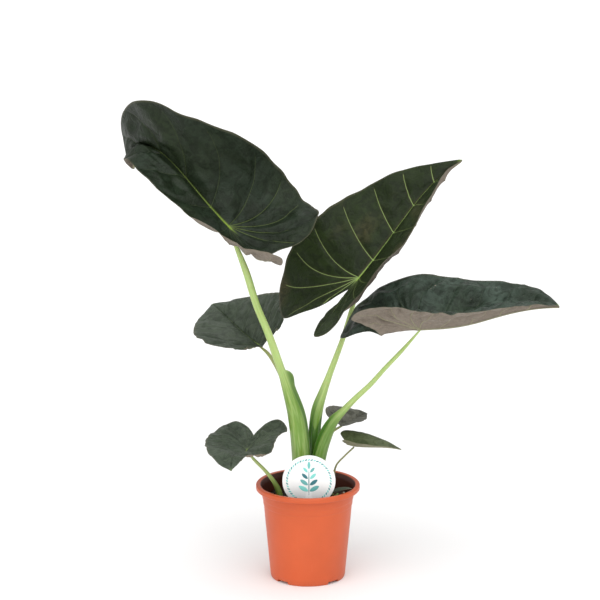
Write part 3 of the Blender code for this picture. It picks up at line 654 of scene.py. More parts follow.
def midrib(leaf):
    """The midrib as a curve: its pitch is a smooth function of the distance from the joint, its sway grows
    evenly toward the tip, and its points are the running sum of the directions they give."""
    ahead, left, up = leaf_axes(leaf)
    along = np.linspace(-0.9, 1.0, 191) * leaf["length"]
    share = along / leaf["length"]
    lobes, middle, tip = leaf["bend"]
    pitch = np.radians(smooth_through(STATIONS, (lobes, 0.0, middle, tip), share))
    sway = np.radians(leaf["sway"]) * np.clip(share, 0, 1)
    toward = (np.cos(pitch) * np.cos(sway))[:, None] * ahead
    toward = toward + (np.cos(pitch) * np.sin(sway))[:, None] * left + np.sin(pitch)[:, None] * up
    walked = np.cumsum((toward[1:] + toward[:-1]) / 2 * (along[1] - along[0]), axis=0)
    walked = np.vstack([np.zeros(3), walked])
    start = walked[np.argmin(abs(along))]
    return along, walked - start + np.array(leaf["joint"]), toward


def half_outline(leaf, k):
    """The half outline with this leaf's notch, lobe and fullness."""
    outline = np.array(HALF_OUTLINE)
    fullness = np.where(outline[:, 0] < 0, leaf["full"][0], leaf["full"][1])
    outline[:, 1] = outline[:, 1] ** fullness
    inner = slice(0, INNER_COUNT)
    shallow = outline[0, 0]
    deep = outline[INNER_COUNT - 1, 0]
    stretch = (deep * leaf["lobe"][k] + leaf["notch"]) / (deep - shallow)
    outline[inner, 0] = (outline[inner, 0] - shallow) * stretch - leaf["notch"]
    outline[INNER_COUNT:INNER_COUNT + 2, 0] *= leaf["lobe"][k]
    return outline


def half_blade(leaf, dress, side, across, around):
    """One half of the blade as a surface of two parameters: around follows the margin from notch to tip, and
    across runs out along the vein that reaches that place. The flat leaf is folded at the midrib and curled
    into an arc of constant turn across it, then carried along the bent midrib. The margin waves in and out as
    a sine that dies at the notch and the tip. Returns the places, the flat places, and the distance that one
    step of around makes square to the vein."""
    name = "left" if side > 0 else "right"
    k = 0 if side > 0 else 1
    length = leaf["length"]
    half = leaf["half"][k]
    outline = half_outline(leaf, k)
    chords = np.linalg.norm(np.diff(outline * (1.0, 0.45), axis=0), axis=1)
    knots = np.concatenate([[0.0], np.cumsum(chords)]) / chords.sum()
    margin = smooth_through(knots, outline, around) * (length, half)
    turns = 2 * np.pi * dress["waves"] * around + dress["phase"] + side
    wave = 0.7 * np.sin(1.15 * turns) + 0.45 * np.sin(2.9 * turns + 1.0)
    margin[:, 1] *= 1 + dress["wavy"] * wave * ease(0.10, 0.25, around) * (1 - ease(0.85, 0.97, around))
    root = np.clip((around - VEIN_FAN) / (1 - VEIN_FAN), 0, 1) ** VEIN_SPREAD * length
    out = across[None, :]
    x = root[:, None] + (margin[:, :1] - root[:, None]) * out
    bow = VEIN_BOW[0] + (VEIN_BOW[1] - VEIN_BOW[0]) * ease(0.40, 0.75, around)[:, None]
    x = x - bow * length * 4 * out * (1 - out) * margin[:, 1:] / half
    y = margin[:, 1:] * out
    flat = np.stack([x, y], -1)
    step = np.gradient(flat, around, axis=0)
    run = np.gradient(flat, across, axis=1)
    run = run / np.maximum(np.linalg.norm(run, axis=-1, keepdims=True), 1e-9)
    spacing = abs(step[..., 0] * run[..., 1] - step[..., 1] * run[..., 0])
    along, points, toward = midrib(leaf)
    place = np.stack([np.interp(x, along, points[:, i]) for i in range(3)], axis=-1)
    ahead = np.stack([np.interp(x, along, toward[:, i]) for i in range(3)], axis=-1)
    ahead = ahead / np.linalg.norm(ahead, axis=-1, keepdims=True)
    first_left = leaf_axes(leaf)[1]
    left = first_left - (ahead @ first_left)[..., None] * ahead
    left = left / np.linalg.norm(left, axis=-1, keepdims=True)
    up = np.cross(ahead, left)
    twist = np.radians(leaf["twist"]) * np.clip(x / length, 0, 1)[..., None]
    left, up = left * np.cos(twist) + up * np.sin(twist), up * np.cos(twist) - left * np.sin(twist)
    fold = np.radians(smooth_through(STATIONS, leaf["fold_" + name], x / length))
    curl = np.radians(smooth_through(STATIONS, leaf["curl_" + name], x / length)) / half
    curl = np.where(abs(curl) < 0.0001, 0.0001, curl)
    run_out = (np.sin(fold + curl * y) - np.sin(fold)) / curl
    lift = (np.cos(fold) - np.cos(fold + curl * y)) / curl
    return place + side * run_out[..., None] * left + lift[..., None] * up, flat, spacing


def vein_rows(count):
    """Places along the margin: even steps, with closer ones in their stead beside each vein."""
    near = np.array(VEIN_PLACES)[:, None] + np.array(VEIN_SIDES)
    even = np.linspace(0, 1, count + 1)
    even = even[abs(even[:, None] - near.ravel()).min(axis=1) > 0.004]
    return np.sort(np.concatenate([even, near.ravel()]))


def half_fields(leaf, dress, flat, spacing, across, around, side):
    """Fields over one half. gap is the distance to the nearest vein or to the midrib in half widths of it,
    and vein is a bell curve of it; quilt rises between the veins as a hyperbolic tangent of the distance;
    pleat is folded noise, whose creases run out along the veins; ruffle is a sine along the margin that
    dies inward; glow is green along the midrib near the joint and at the tip."""
    length = leaf["length"]
    at = around[:, None]
    out = np.broadcast_to(across[None, :], spacing.shape)
    nearest = (abs(at[..., None] - np.array(VEIN_PLACES)) * spacing[..., None]).min(axis=-1)
    width = (0.0027 * length + 0.00010) * (1 - 0.55 * out)
    fade = 1 - ease(0.88, 1.0, out)
    x, y = flat[..., 0], flat[..., 1]
    rib_width = length * np.interp(x / length, [-0.2, 0.0, 0.5, 1.0], [0.0025, 0.0062, 0.0036, 0.0012])
    rib_gap = abs(y) / rib_width + 6 * (1 - ease(-0.10 * length, -0.01 * length, x))
    gap = np.minimum(nearest / width + 6 * (1 - fade), rib_gap)
    rib = bell(y, 0.0, rib_width) * ease(-0.16 * length, 0.0, x)
    from_joint = np.hypot(x, y)
    beyond = np.minimum(nearest, abs(y) * 0.9)
    quilt = np.tanh(beyond / (0.045 * length)) * (1 - 0.75 * out ** 4) * ease(0, 0.12 * length, from_joint)
    place = np.stack([15.0 * at + 0 * out, 2.2 * out + 0 * at, 0 * out + 5.0 * side + dress["phase"]], -1)
    pleat = 0.45 - abs(soft_noise(place, 1.0, 11)) + 0.5 * (0.45 - abs(soft_noise(place * 2.1, 1.0, 12)))
    before_tip = 1 - ease(0.9, 1.0, at)
    pleat = pleat * ease(0.05 * length, 0.35 * length, from_joint) * ease(0.02, 0.25, out) * before_tip
    pleat = pleat * (1 - 0.75 * ease(0.70, 1.0, out))
    wave = np.sin(2 * np.pi * dress["waves"] * at + dress["phase"] + (0.9 if side < 0 else 0.0))
    wave = wave * (0.6 + 0.4 * np.sin(5.1 * at + dress["phase"] * 3))
    ruffle = wave * out ** 3 * ease(0, 0.08, at) * (1 - ease(0.93, 1.0, at))
    glow = bell(y, 0.0, 0.9 * rib_width) * np.exp(-np.clip(x, 0, 1) / (0.24 * length))
    glow = glow * ease(-0.10 * length, 0.0, x) + 0.7 * ease(0.982, 1.0, at)
    lobe, tip = dress["veins"][0 if side > 0 else 2:][:2]
    strength = (lobe + (tip - lobe) * ease(0.35, 0.62, at)) * (1 - (1 - max(lobe, tip)) * 0.8 * out)
    strength = np.where(rib_gap < 1.6, np.maximum(strength, 0.26), strength)
    turned_up = dress["turn"][0 if side > 0 else 1] * ease(0.78, 1.0, out) * ease(0.25, 0.42, at) * before_tip
    return dict(vein=np.exp(-gap ** 2) * (1 - 0.6 * out), rib=rib, gap=np.minimum(gap, 8.0), quilt=quilt,
                pleat=pleat, ruffle=ruffle, turned_up=turned_up, glow=glow * 0.8,
                edge=ease(0.975, 1.0, out), out=out, strength=strength)


def make_blade(number, materials, settings):
    """Blade: two half surfaces sewn along the midrib and the notch, moved along their normals by the
    quilting and the ruffles, then given an upper and a lower skin that meet in a thin margin. Veins are
    grooves above and ribs below."""
    leaf = LEAVES[number]
    dress = DRESS[number]
    columns, rows = GRID[number]
    across = np.linspace(0, 1, columns + 1) ** 1.35
    around = vein_rows(rows)
    places, faces, fields, rims = [], [], [], []
    base = 0
    for side in (1, -1):
        place, flat, spacing = half_blade(leaf, dress, side, across, around)
        fields.append(half_fields(leaf, dress, flat, spacing, across, around, side))
        quads = grid_faces(len(around), len(across), first=base)
        faces.append(quads if side < 0 else quads[:, ::-1])
        rims.append(base + np.arange(len(around)) * len(across) + len(across) - 1)
        places.append(place.reshape(-1, 3))
        base += len(around) * len(across)
    field = {key: np.concatenate([f[key].ravel() for f in fields]) for key in fields[0]}
    places = np.concatenate(places)
    kept, back = same_places(places)
    middle = places[kept]
    faces = back[np.concatenate(faces)]
    rim = back[np.concatenate([rims[0], rims[1][::-1]])]
    field = {key: values[kept] for key, values in field.items()}
    normal = point_normals(middle, faces)
    length = leaf["length"]
    crease = 0.8 * soft_noise(middle, 0.11 * length, number)
    crease = crease + 0.4 * soft_noise(middle, 0.05 * length, number + 7)
    moved = dress["quilt"] * (1 + crease) * field["quilt"] + dress["ruffle"] * field["ruffle"]
    moved = moved + dress["pleat"] * field["pleat"] + field["turned_up"]
    middle = middle + moved[:, None] * normal
    normal = point_normals(middle, faces)
    thick = settings.thickness * (1 - 0.55 * ease(0.3, 1.0, field["out"])) * min(1.0, length / 0.15 + 0.25)
    groove = 0.0022 * length * field["vein"] + 0.0030 * length * field["rib"]
    ridge = 0.0035 * length * field["vein"] + 0.0090 * length * field["rib"]
    upper = middle + normal * (thick / 2 - groove * settings.vein_depth)[:, None]
    lower = middle - normal * (thick / 2 + ridge * settings.vein_depth)[:, None]
    count = len(middle)
    loop = np.stack([rim, np.roll(rim, -1), np.roll(rim, -1) + count, rim + count], -1)
    skins = np.concatenate([faces, faces[:, ::-1] + count, loop])
    twice = {key: np.concatenate([values, values]) for key, values in field.items()}
    attributes = {key: twice[key] for key in ("gap", "edge", "strength")}
    attributes["glow"] = np.concatenate([field["glow"], 0 * field["glow"]])
    attributes["under"] = np.repeat([0.0, 1.0], count)
    piece = put_mesh("leaf_blade_%d" % number, np.concatenate([upper, lower]), skins, attributes)
    finish_piece(piece, materials[dress["skin"]], "leaf", "blade_%d" % number)
    return piece


# ---------------------------------------------------------------- stalks
def stalk_path(number):
    """A smooth curve through the stalk's points and its blade's joint: distances walked along it, rows of
    (x, y, z, radius, wing) there, and its directions, of which the first is straight up."""
    leaf = LEAVES[number]
    end = np.array(leaf["joint"]) - leaf_axes(leaf)[2] * (BLADE_GAP + STALK_END)
    table = np.array(STALKS[number]["points"] + [(*end, STALK_END, 0.0)])
    gaps = np.linalg.norm(np.diff(table[:, :3], axis=0), axis=1)
    knots = np.concatenate([[0.0], np.cumsum(gaps)])
    steps = np.linspace(0, knots[-1], int(np.clip(knots[-1] / RING_STEP, 16, 240)))
    shape = smooth_through(knots, table, steps)
    toward = np.gradient(shape[:, :3], steps, axis=0)
    toward[0] = (0.0, 0.0, 1.0)
    return steps, shape, toward / np.linalg.norm(toward, axis=1, keepdims=True)


def sheath_darkness_and_shade(number, places, away, sheath, wing):
    """How dark the sheath is: by its wing, in a band beside it, low down on stalk 2 (partly painted shade),
    all over stalk 3's.
    """
    inner = -0.75 if number == 1 else 0.55
    dark = np.clip(wing / 0.005, 0, 1) * 0.7 + 0.85 * sheath * bell(away, inner, 0.38)
    # Stalk 2's foot, below the V between stalks 1 and 3: partly its inner sheath's darker green, partly
    # painted shade.
    if number == 2:
        above = places[..., 2] - 0.245 - 2.2 * abs(places[..., 0] - 0.012)
        dark = np.maximum(dark, 1 - ease(-0.003, 0.003, above))
    if number == 3:
        dark = np.maximum(dark, 0.45 * sheath)
    return np.clip(dark, 0, 1)


def make_stalk(number, material):
    """Stalk: a closed section carried along a smooth path. The section is a circle of the path's radius, with
    a shallow channel between two lips on its sheathed side and, where the sheath stands free, a wing."""
    steps, shape, toward = stalk_path(number)
    back = np.array([0.0, 1.0, 0.0]) - toward[:, 1:2] * toward
    back = back / np.linalg.norm(back, axis=1, keepdims=True)
    right = np.cross(back, toward)
    rings = len(steps)
    sides = 64 if number <= 3 else 40
    angles = 2 * np.pi * np.arange(sides)[None] / sides
    away = (angles - math.radians(STALKS[number]["wing_angle"]) + np.pi) % (2 * np.pi) - np.pi
    radius = np.maximum(shape[:, 3:4], 0.0005)
    sheath = 1 - ease(0.30, 0.52, steps[:, None] / steps[-1])
    channel = bell(away, 0.55, 0.20) - 0.6 * bell(away, 0.95, 0.16) - 0.6 * bell(away, 0.15, 0.16)
    wing = np.clip(shape[:, 4:5], 0, 1) * bell(away, 0.0, WING_SPREAD)
    ribs = 0.010 * np.sin(17 * angles) + 0.008 * np.sin(29 * angles + 1.0)
    section = radius * (1 - 0.10 * sheath * channel + ribs * (0.4 + 0.6 * sheath)) + wing
    outward = np.cos(angles)[..., None] * right[:, None] + np.sin(angles)[..., None] * back[:, None]
    places = shape[:, None, :3] + section[..., None] * outward
    ends = np.stack([shape[0, :3], shape[-1, :3] + toward[-1] * STALK_END * 0.5])
    first = np.arange(sides)
    foot = cap_faces(first, rings * sides)
    top = cap_faces(first + (rings - 1) * sides, rings * sides + 1)[:, [0, 1, 3, 2]]
    faces = np.concatenate([grid_faces(rings, sides, around=True), foot, top])
    flat = np.zeros(wing.shape)
    fields = {
        "green": np.clip(0.15 + 0.85 * sheath, 0, 1) + flat,
        "dark": sheath_darkness_and_shade(number, places, away, sheath, wing),
        "tan": STALK_TAN.get(number, 0.0) + flat,
    }
    values = {key: with_ends(field.reshape(-1)) for key, field in fields.items()}
    grain = [0.008 * np.cos(angles) + flat, 0.008 * np.sin(angles) + flat, 0.045 * steps[:, None] + flat]
    values["grain"] = with_ends(np.stack(grain, -1).reshape(-1, 3))
    vertices = np.concatenate([places.reshape(-1, 3), ends])
    piece = put_mesh("stalk_%d_skin" % number, vertices, faces, values)
    return finish_piece(piece, material, "stalk", "stalk_%d" % number)


# ---------------------------------------------------------------- pot, soil, corm, label
POT_SIDES = 192
POT_PROFILE = [
    (0.0, 0.0), (0.0220, 0.0000), (0.0220, 0.0050), (0.0520, 0.0050), (0.0520, 0.0000),
    (0.0605, 0.0000), (0.0615, 0.0040), (0.0705, 0.1020), (0.0722, 0.1225), (0.0730, 0.1240),
    (0.0738, 0.1325), (0.0747, 0.1345), (0.0762, 0.1480), (0.0835, 0.1480), (0.0850, 0.1495),
    (0.0850, 0.1555), (0.0838, 0.1570), (0.0788, 0.1570), (0.0772, 0.1555), (0.0748, 0.1490),
    (0.0720, 0.1300), (0.0705, 0.1220), (0.0689, 0.1020), (0.0598, 0.0075), (0.0, 0.0075),
]
POT_WALL = POT_PROFILE[23:17:-1]    # the inner wall, from the floor up
POT_EDGE = 0.0006               # radius of its moulded edges
NOTCH_TURNS = (47.0, 133.0, 227.0, 313.0)   # degrees round the foot ring
NOTCH_OUT = (0.048, 0.068)      # each notch is a box: distances from the axis
NOTCH_ACROSS = (-0.011, 0.011)
NOTCH_UP = (-0.0045, 0.0045)
BOX_FACES = [(0, 1, 3, 2), (4, 6, 7, 5), (0, 4, 5, 1), (2, 3, 7, 6), (0, 2, 6, 4), (1, 5, 7, 3)]
DRAIN_COUNT = 6
DRAIN_CIRCLE = 0.037            # radius of the circle the drains lie on
DRAIN_PROFILE = [(0.0, 0.001), (0.004, 0.001), (0.004, 0.015), (0.0, 0.015)]
SOIL_SIDE = [(0.0701, 0.1220), (0.0685, 0.1020), (0.0594, 0.0078), (0.0, 0.0078)]
SOIL_RADIUS = 0.0710
SOIL_RINGS = 66
SOIL_SIDES = 220
CRUMB_REACH = 0.0695            # crumbs lie within this distance of the axis
CRUMB_LARGEST = 0.0052
CRUMB_TONES = [0.0, 0.5, 0.62, 1.0]         # peat, two barks and white grit
CRUMB_SHARES = [0.62, 0.22, 0.135, 0.025]
CORM_CLEAR = (0.003, 0.005, 0.036, 0.032)   # middle and radii of the oval without crumbs


def cut_out(target, tools):
    """Takes closed solids out of the target and leaves it a plain mesh."""
    for tool in tools:
        step = target.modifiers.new(tool.name, "BOOLEAN")
        step.operation = "DIFFERENCE"
        step.solver = "EXACT"
        step.object = tool
    bpy.context.view_layer.update()
    made = bpy.data.meshes.new_from_object(target.evaluated_get(bpy.context.evaluated_depsgraph_get()))
    target.modifiers.clear()
    target.data = made
    for tool in tools:
        bpy.data.objects.remove(tool)


def make_pot(settings):
    """Pot: a rounded profile turned about the axis, with four notches in the foot ring and six drains."""
    vertices, faces = turned(rounded_profile(POT_PROFILE, POT_EDGE), POT_SIDES)
    vertices, faces, _ = weld(vertices, faces)
    pot = put_mesh("pot_shell", vertices, faces)
    tools = []
    x, y, z = np.array([(x, y, z) for x in NOTCH_OUT for y in NOTCH_ACROSS for z in NOTCH_UP]).T
    for degrees in NOTCH_TURNS:
        turn = math.radians(degrees)
        turned_x = x * math.cos(turn) - y * math.sin(turn)
        turned_y = x * math.sin(turn) + y * math.cos(turn)
        tools.append(put_mesh("notch_tool", np.stack([turned_x, turned_y, z], -1), np.array(BOX_FACES)))
    for k in range(DRAIN_COUNT):
        turn = math.radians(17 + 360 / DRAIN_COUNT * k)
        centre = (DRAIN_CIRCLE * math.cos(turn), DRAIN_CIRCLE * math.sin(turn))
        drain = turned(DRAIN_PROFILE, 24, centre)
        tools.append(put_mesh("drain_tool", *weld(*drain)[:2]))
    cut_out(pot, tools)
    mesh = pot.data
    co = np.empty(len(mesh.vertices) * 3, np.float32)
    mesh.vertices.foreach_get("co", co)
    co = co.reshape(-1, 3)
    radius = np.hypot(co[:, 0], co[:, 1])
    wall_radius, wall_height = np.array(POT_WALL).T
    wall = np.interp(co[:, 2], wall_height, wall_radius)
    # The inner wall, above the floor and under the rim: it carries the painted shade and the dust.
    between = (co[:, 2] > 0.007) & (co[:, 2] < POT_HEIGHT - 0.001)
    inner_shade_and_dust = ((radius < wall + POT_EDGE) & between).astype(np.float32)
    mesh.attributes.new("inner_shade_and_dust", "FLOAT", "POINT").data.foreach_set("value", inner_shade_and_dust)
    mesh.set_sharp_from_angle(angle=math.radians(38))
    finish_piece(pot, pot_material(settings), "pot_plastic", "pot")


def soil_height(x, y):
    """Height of the soil over a place: its level plus two sizes of noise, settled against the wall."""
    points = np.stack([x, y, 0 * x], -1)
    lumps = 0.0016 * soft_noise(points, 0.011, 3) + 0.0009 * soft_noise(points, 0.0045, 4)
    return SOIL_LEVEL - 0.0012 + lumps - 0.0015 * ease(0.058, SOIL_RADIUS, np.hypot(x, y))


def make_soil(settings):
    """Soil: a disc of two parameters, radius and turn, raised by the soil height, with side and bottom."""
    radii = np.linspace(0, SOIL_RADIUS, SOIL_RINGS)
    angles = 2 * np.pi * np.arange(SOIL_SIDES) / SOIL_SIDES
    x = radii[:, None] * np.cos(angles)
    y = radii[:, None] * np.sin(angles)
    top = np.stack([x, y, soil_height(x, y)], -1).reshape(-1, 3)
    low, _ = turned(SOIL_SIDE, SOIL_SIDES)
    faces = grid_faces(SOIL_RINGS + len(SOIL_SIDE), SOIL_SIDES, around=True)[:, ::-1]
    vertices, faces, _ = weld(np.concatenate([top, low]), faces)
    bed = put_mesh("soil_bed", vertices, faces, {"shade": np.zeros(len(vertices))})
    finish_piece(bed, soil_material("peat_bed", settings), "peat", "soil")


def make_crumbs(settings):
    """Loose crumbs on the soil: small balls of six sides, stretched, dented by noise and turned at random,
    and kept clear of the corm and the pot's wall."""
    seeded = np.random.default_rng(7)
    ball, ball_faces = crumb_body()
    count = settings.crumbs
    turn = seeded.uniform(0, 2 * np.pi, count)
    distance = CRUMB_REACH * np.sqrt(seeded.uniform(0, 1, count))
    x = distance * np.cos(turn)
    y = distance * np.sin(turn)
    middle_x, middle_y, radius_x, radius_y = CORM_CLEAR
    clear = np.hypot((x - middle_x) / radius_x, (y - middle_y) / radius_y) > 1
    x, y = x[clear], y[clear]
    count = len(x)
    size = np.exp(seeded.normal(math.log(settings.crumb_size), 0.38, count))[:, None]
    size = np.minimum(size, CRUMB_LARGEST) * seeded.uniform((0.6, 0.5, 0.30), (1.5, 1.1, 0.8), (count, 3))
    spins = seeded.uniform(0, 2 * np.pi, (count, 3))
    rotations = rotation_matrices(spins * (1.0, 0.25, 1.0))
    bodies = np.einsum("nij,nvj->nvi", rotations, ball[None] * size[:, None] * 0.5)
    bodies = bodies * (1 + 0.22 * soft_noise(bodies * 900 + spins[:, None], 1.0, 5))[..., None]
    lift = soil_height(x, y) + size[:, 2] * 0.30
    bodies = bodies + np.stack([x, y, lift], -1)[:, None]
    reach = np.hypot(bodies[..., 0], bodies[..., 1])
    pull = np.minimum(1.0, (SOIL_RADIUS - 0.0002) / np.maximum(reach, 1e-6))[..., None]
    bodies[..., :2] = bodies[..., :2] * pull
    faces = many_faces(ball_faces, count, len(ball))
    tones = np.repeat(seeded.choice(CRUMB_TONES, count, p=CRUMB_SHARES), len(ball))
    crumbs = put_mesh("soil_crumbs", bodies.reshape(-1, 3), faces, {"shade": tones})
    finish_piece(crumbs, soil_material("peat_crumbs", settings), "peat")


def crumb_body():
    """A closed ball of 6 by 4 faces with its poles closed."""
    rows, sides = 5, 6
    latitude = np.pi * np.arange(rows) / (rows - 1)
    longitude = 2 * np.pi * np.arange(sides) / sides
    wide = np.sin(latitude)[:, None]
    tall = np.repeat(np.cos(latitude)[:, None], sides, axis=1)
    ball = np.stack([wide * np.cos(longitude), wide * np.sin(longitude), tall], -1)
    vertices, faces, _ = weld(ball.reshape(-1, 3), grid_faces(rows, sides, around=True)[:, ::-1])
    return vertices, faces


def rotation_matrices(spins):
    """Turns about x, then y, then z for each row of three angles."""
    cx, cy, cz = np.cos(spins).T
    sx, sy, sz = np.sin(spins).T
    rows = [[cy * cz, sx * sy * cz - cx * sz, cx * sy * cz + sx * sz],
            [cy * sz, sx * sy * sz + cx * cz, cx * sy * sz - sx * cz],
            [-sy, sx * cy, cx * cy]]
    return np.moveaxis(np.array(rows), -1, 0)


def make_corm(settings):
    """Corm: an oval profile turned about its own axis, with ring scars as small steps in the radius."""
    centre = ((CORM_LOW.x + CORM_HIGH.x) / 2, (CORM_LOW.y + CORM_HIGH.y) / 2)
    radii = ((CORM_HIGH.x - CORM_LOW.x) / 2, (CORM_HIGH.y - CORM_LOW.y) / 2)
    shares = np.linspace(0, 1, 60)
    bulge = smooth_through((0.0, 0.15, 0.45, 0.72, 0.92, 1.0), (0.55, 0.85, 0.99, 0.99, 0.94, 0.84), shares)
    scars = 0.012 * np.sin(shares * 55)
    heights = CORM_LOW.z + shares * (CORM_HIGH.z - CORM_LOW.z)
    profile = np.vstack([(0.0, heights[0]), np.stack([bulge + scars, heights], -1), (0.0, heights[-1])])
    vertices, faces = turned(profile, 96, centre, radii)
    vertices, faces, _ = weld(vertices, faces)
    wobble = 1 + 0.03 * (soft_noise(vertices, 0.016, 9) - 1)
    vertices[:, :2] = centre + (vertices[:, :2] - centre) * wobble[:, None]
    piece = put_mesh("corm_body", vertices, faces, sharp=50)
    finish_piece(piece, corm_material(settings), "corm_skin", "corm")


STAKE_HALF = 0.008              # half width of the label's stake
STAKE_TAPER = 0.020             # length of its point
STAKE_TOP = 0.045               # height above its tip where the outline of the disc begins
DISC_STEPS = 180
# Rings of the label's edge: how far the outline is drawn in (m), and the depth as a share of half its
# thickness.  The first and last rings are points.
LABEL_EDGE = [(None, -1.0), (0.0004, -1.0), (0.0001, -0.75), (0.0, 0.0), (0.0001, 0.75), (0.0004, 1.0),
              (None, 1.0)]
PRINT_RING = 0.0355             # radius of the printed ring
PRINT_MARKS = 48                # marks round it
PRINT_GAP = 0.00006             # from the print to the card
# Rings of one printed mark: size as a share, and height (m).
MARK_RINGS = ((0.0, 0.0), (0.92, 0.0), (1.0, 0.00004), (1.0, 0.00008), (0.0, 0.00008))


def make_label(settings):
    """Label: a disc with a pointed stake; its outline is drawn in toward both faces, as a rounded edge."""
    cx = (LABEL_LOW.x + LABEL_HIGH.x) / 2
    cy = (LABEL_LOW.y + LABEL_HIGH.y) / 2
    radius = (LABEL_HIGH.x - LABEL_LOW.x) / 2
    cz = LABEL_HIGH.z - radius
    half = STAKE_HALF
    first = math.asin(half / radius)
    angle = -math.pi / 2 + first + (2 * math.pi - 2 * first) * np.arange(DISC_STEPS + 1) / DISC_STEPS
    disc = np.stack([radius * np.cos(angle), radius * np.sin(angle)], -1)
    tip = LABEL_LOW.z - cz
    taper, top = tip + STAKE_TAPER, tip + STAKE_TOP
    stake = np.array([(-half, top), (-half, taper), (0.0, tip), (half, taper), (half, top)])
    outline = np.vstack([disc, stake])
    tangent = np.roll(outline, -1, axis=0) - np.roll(outline, 1, axis=0)
    inward = np.stack([-tangent[:, 1], tangent[:, 0]], -1)
    inward = inward / np.linalg.norm(inward, axis=1, keepdims=True)
    thick = (LABEL_HIGH.y - LABEL_LOW.y) / 2
    rings = []
    for inset, depth in LABEL_EDGE:
        ring = outline * 0 if inset is None else outline + inward * inset
        level = np.full(len(ring), cy + depth * thick)
        rings.append(np.stack([cx + ring[:, 0], level, cz + ring[:, 1]], -1))
    faces = grid_faces(len(rings), len(outline), around=True)[:, ::-1]
    vertices, faces, _ = weld(np.concatenate(rings), faces)
    tag = put_mesh("label_tag", vertices, faces, {"tone": np.zeros(len(vertices))}, sharp=60)
    card = card_material("label_card", tuple(settings.card), settings)
    finish_piece(tag, card, "label_card", "plant_label")
    make_print(cx, cy - thick - PRINT_GAP, cz, settings)


def print_marks():
    """Rows of (x, height, turn, length, width) for the printed marks, and their tones: a plain ring of short
    marks, four pairs of leaves, and their stem with a bud."""
    turn = 2 * np.pi * np.arange(PRINT_MARKS) / PRINT_MARKS
    ring = np.stack([PRINT_RING * np.cos(turn), PRINT_RING * np.sin(turn), turn + np.pi / 2 + 0.6,
                     np.full(PRINT_MARKS, 0.0050), np.full(PRINT_MARKS, 0.0024)], -1)
    up = np.repeat(np.arange(4), 2)
    way = np.tile([-1.0, 1.0], 4)
    length = 0.0175 - 0.0022 * up
    lean = np.pi / 2 - way * (1.05 - 0.12 * up)
    pairs = np.stack([way * 0.0088 * (1 - 0.12 * up), -0.0130 + 0.0105 * up, lean, length, length * 0.42], -1)
    stem = [(0.0, -0.002, np.pi / 2, 0.046, 0.0016), (0.0, 0.0265, np.pi / 2, 0.013, 0.0050)]
    tones = np.concatenate([np.arange(PRINT_MARKS) % 2 * 0.7, (up + (way > 0)) % 3 / 2, [0.9, 0.3]])
    return np.concatenate([ring, pairs, stem]), tones


def make_print(cx, front, cz, settings):
    """The label's print: every mark is a thin leaf-shaped pad, an oval drawn to a point at both ends."""
    grains, tones = print_marks()
    t = 2 * np.pi * np.arange(16) / 16
    leafy = np.stack([0.5 * np.cos(t), 0.5 * np.sin(t) * abs(np.sin(t)) ** 0.4], -1)
    x = grains[:, 3:4] * leafy[None, :, 0]
    z = grains[:, 4:5] * leafy[None, :, 1]
    middle_x, middle_z, lean = grains[:, :1], grains[:, 1:2], grains[:, 2:3]
    px = middle_x + x * np.cos(lean) - z * np.sin(lean)
    pz = middle_z + x * np.sin(lean) + z * np.cos(lean)
    rows = []
    for scale, depth in MARK_RINGS:
        gx = middle_x + (px - middle_x) * scale
        gz = middle_z + (pz - middle_z) * scale
        rows.append(np.stack([cx + gx, np.full(gx.shape, front + depth), cz + gz], -1))
    bodies = np.stack(rows, 1)
    per = bodies.shape[1] * bodies.shape[2]
    one = grid_faces(bodies.shape[1], bodies.shape[2], around=True)
    vertices, faces, kept = weld(bodies.reshape(-1, 3), many_faces(one, len(grains), per))
    mark = put_mesh("label_print", vertices, faces, {"tone": np.repeat(tones, per)[kept]})
    finish_piece(mark, card_material("label_ink", tuple(settings.print_light), settings), "label_card")


# ---------------------------------------------------------------- settings
class AlocasiaPotSettings(bpy.types.PropertyGroup):
    """Finish of the moulded pot."""

    plastic: bpy.props.FloatVectorProperty(
        name="Plastic", description="Colour of the pot's plastic", subtype="COLOR", size=4, min=0, max=1,
        default=(0.62, 0.098, 0.020, 1.0))
    roughness: bpy.props.FloatProperty(
        name="Roughness", description="Roughness of the plastic", subtype="FACTOR",
        default=0.42, min=0, max=1)


class AlocasiaSoilSettings(bpy.types.PropertyGroup):
    """Soil, crumbs and corm."""

    peat: bpy.props.FloatVectorProperty(
        name="Peat", description="Colour of the soil", subtype="COLOR", size=4, min=0, max=1,
        default=(0.020, 0.012, 0.008, 1.0))
    corm: bpy.props.FloatVectorProperty(
        name="Corm", description="Colour of the corm's fresh skin", subtype="COLOR", size=4, min=0, max=1,
        default=(0.16, 0.18, 0.05, 1.0))
    crumbs: bpy.props.IntProperty(
        name="Crumbs", description="Number of loose crumbs tried on the soil", default=1500, min=0, max=4000)
    crumb_size: bpy.props.FloatProperty(
        name="Crumb size", description="Usual size of a crumb", unit="LENGTH",
        default=0.0026, min=0.001, max=0.006)


class AlocasiaLabelSettings(bpy.types.PropertyGroup):
    """Card and print of the plant label."""

    card: bpy.props.FloatVectorProperty(
        name="Card", description="Colour of the card", subtype="COLOR", size=4, min=0, max=1,
        default=(0.88, 0.89, 0.88, 1.0))
    print_light: bpy.props.FloatVectorProperty(
        name="Light print", description="Light tone of the print", subtype="COLOR", size=4, min=0, max=1,
        default=(0.22, 0.66, 0.60, 1.0))
    print_dark: bpy.props.FloatVectorProperty(
        name="Dark print", description="Dark tone of the print", subtype="COLOR", size=4, min=0, max=1,
        default=(0.02, 0.16, 0.19, 1.0))


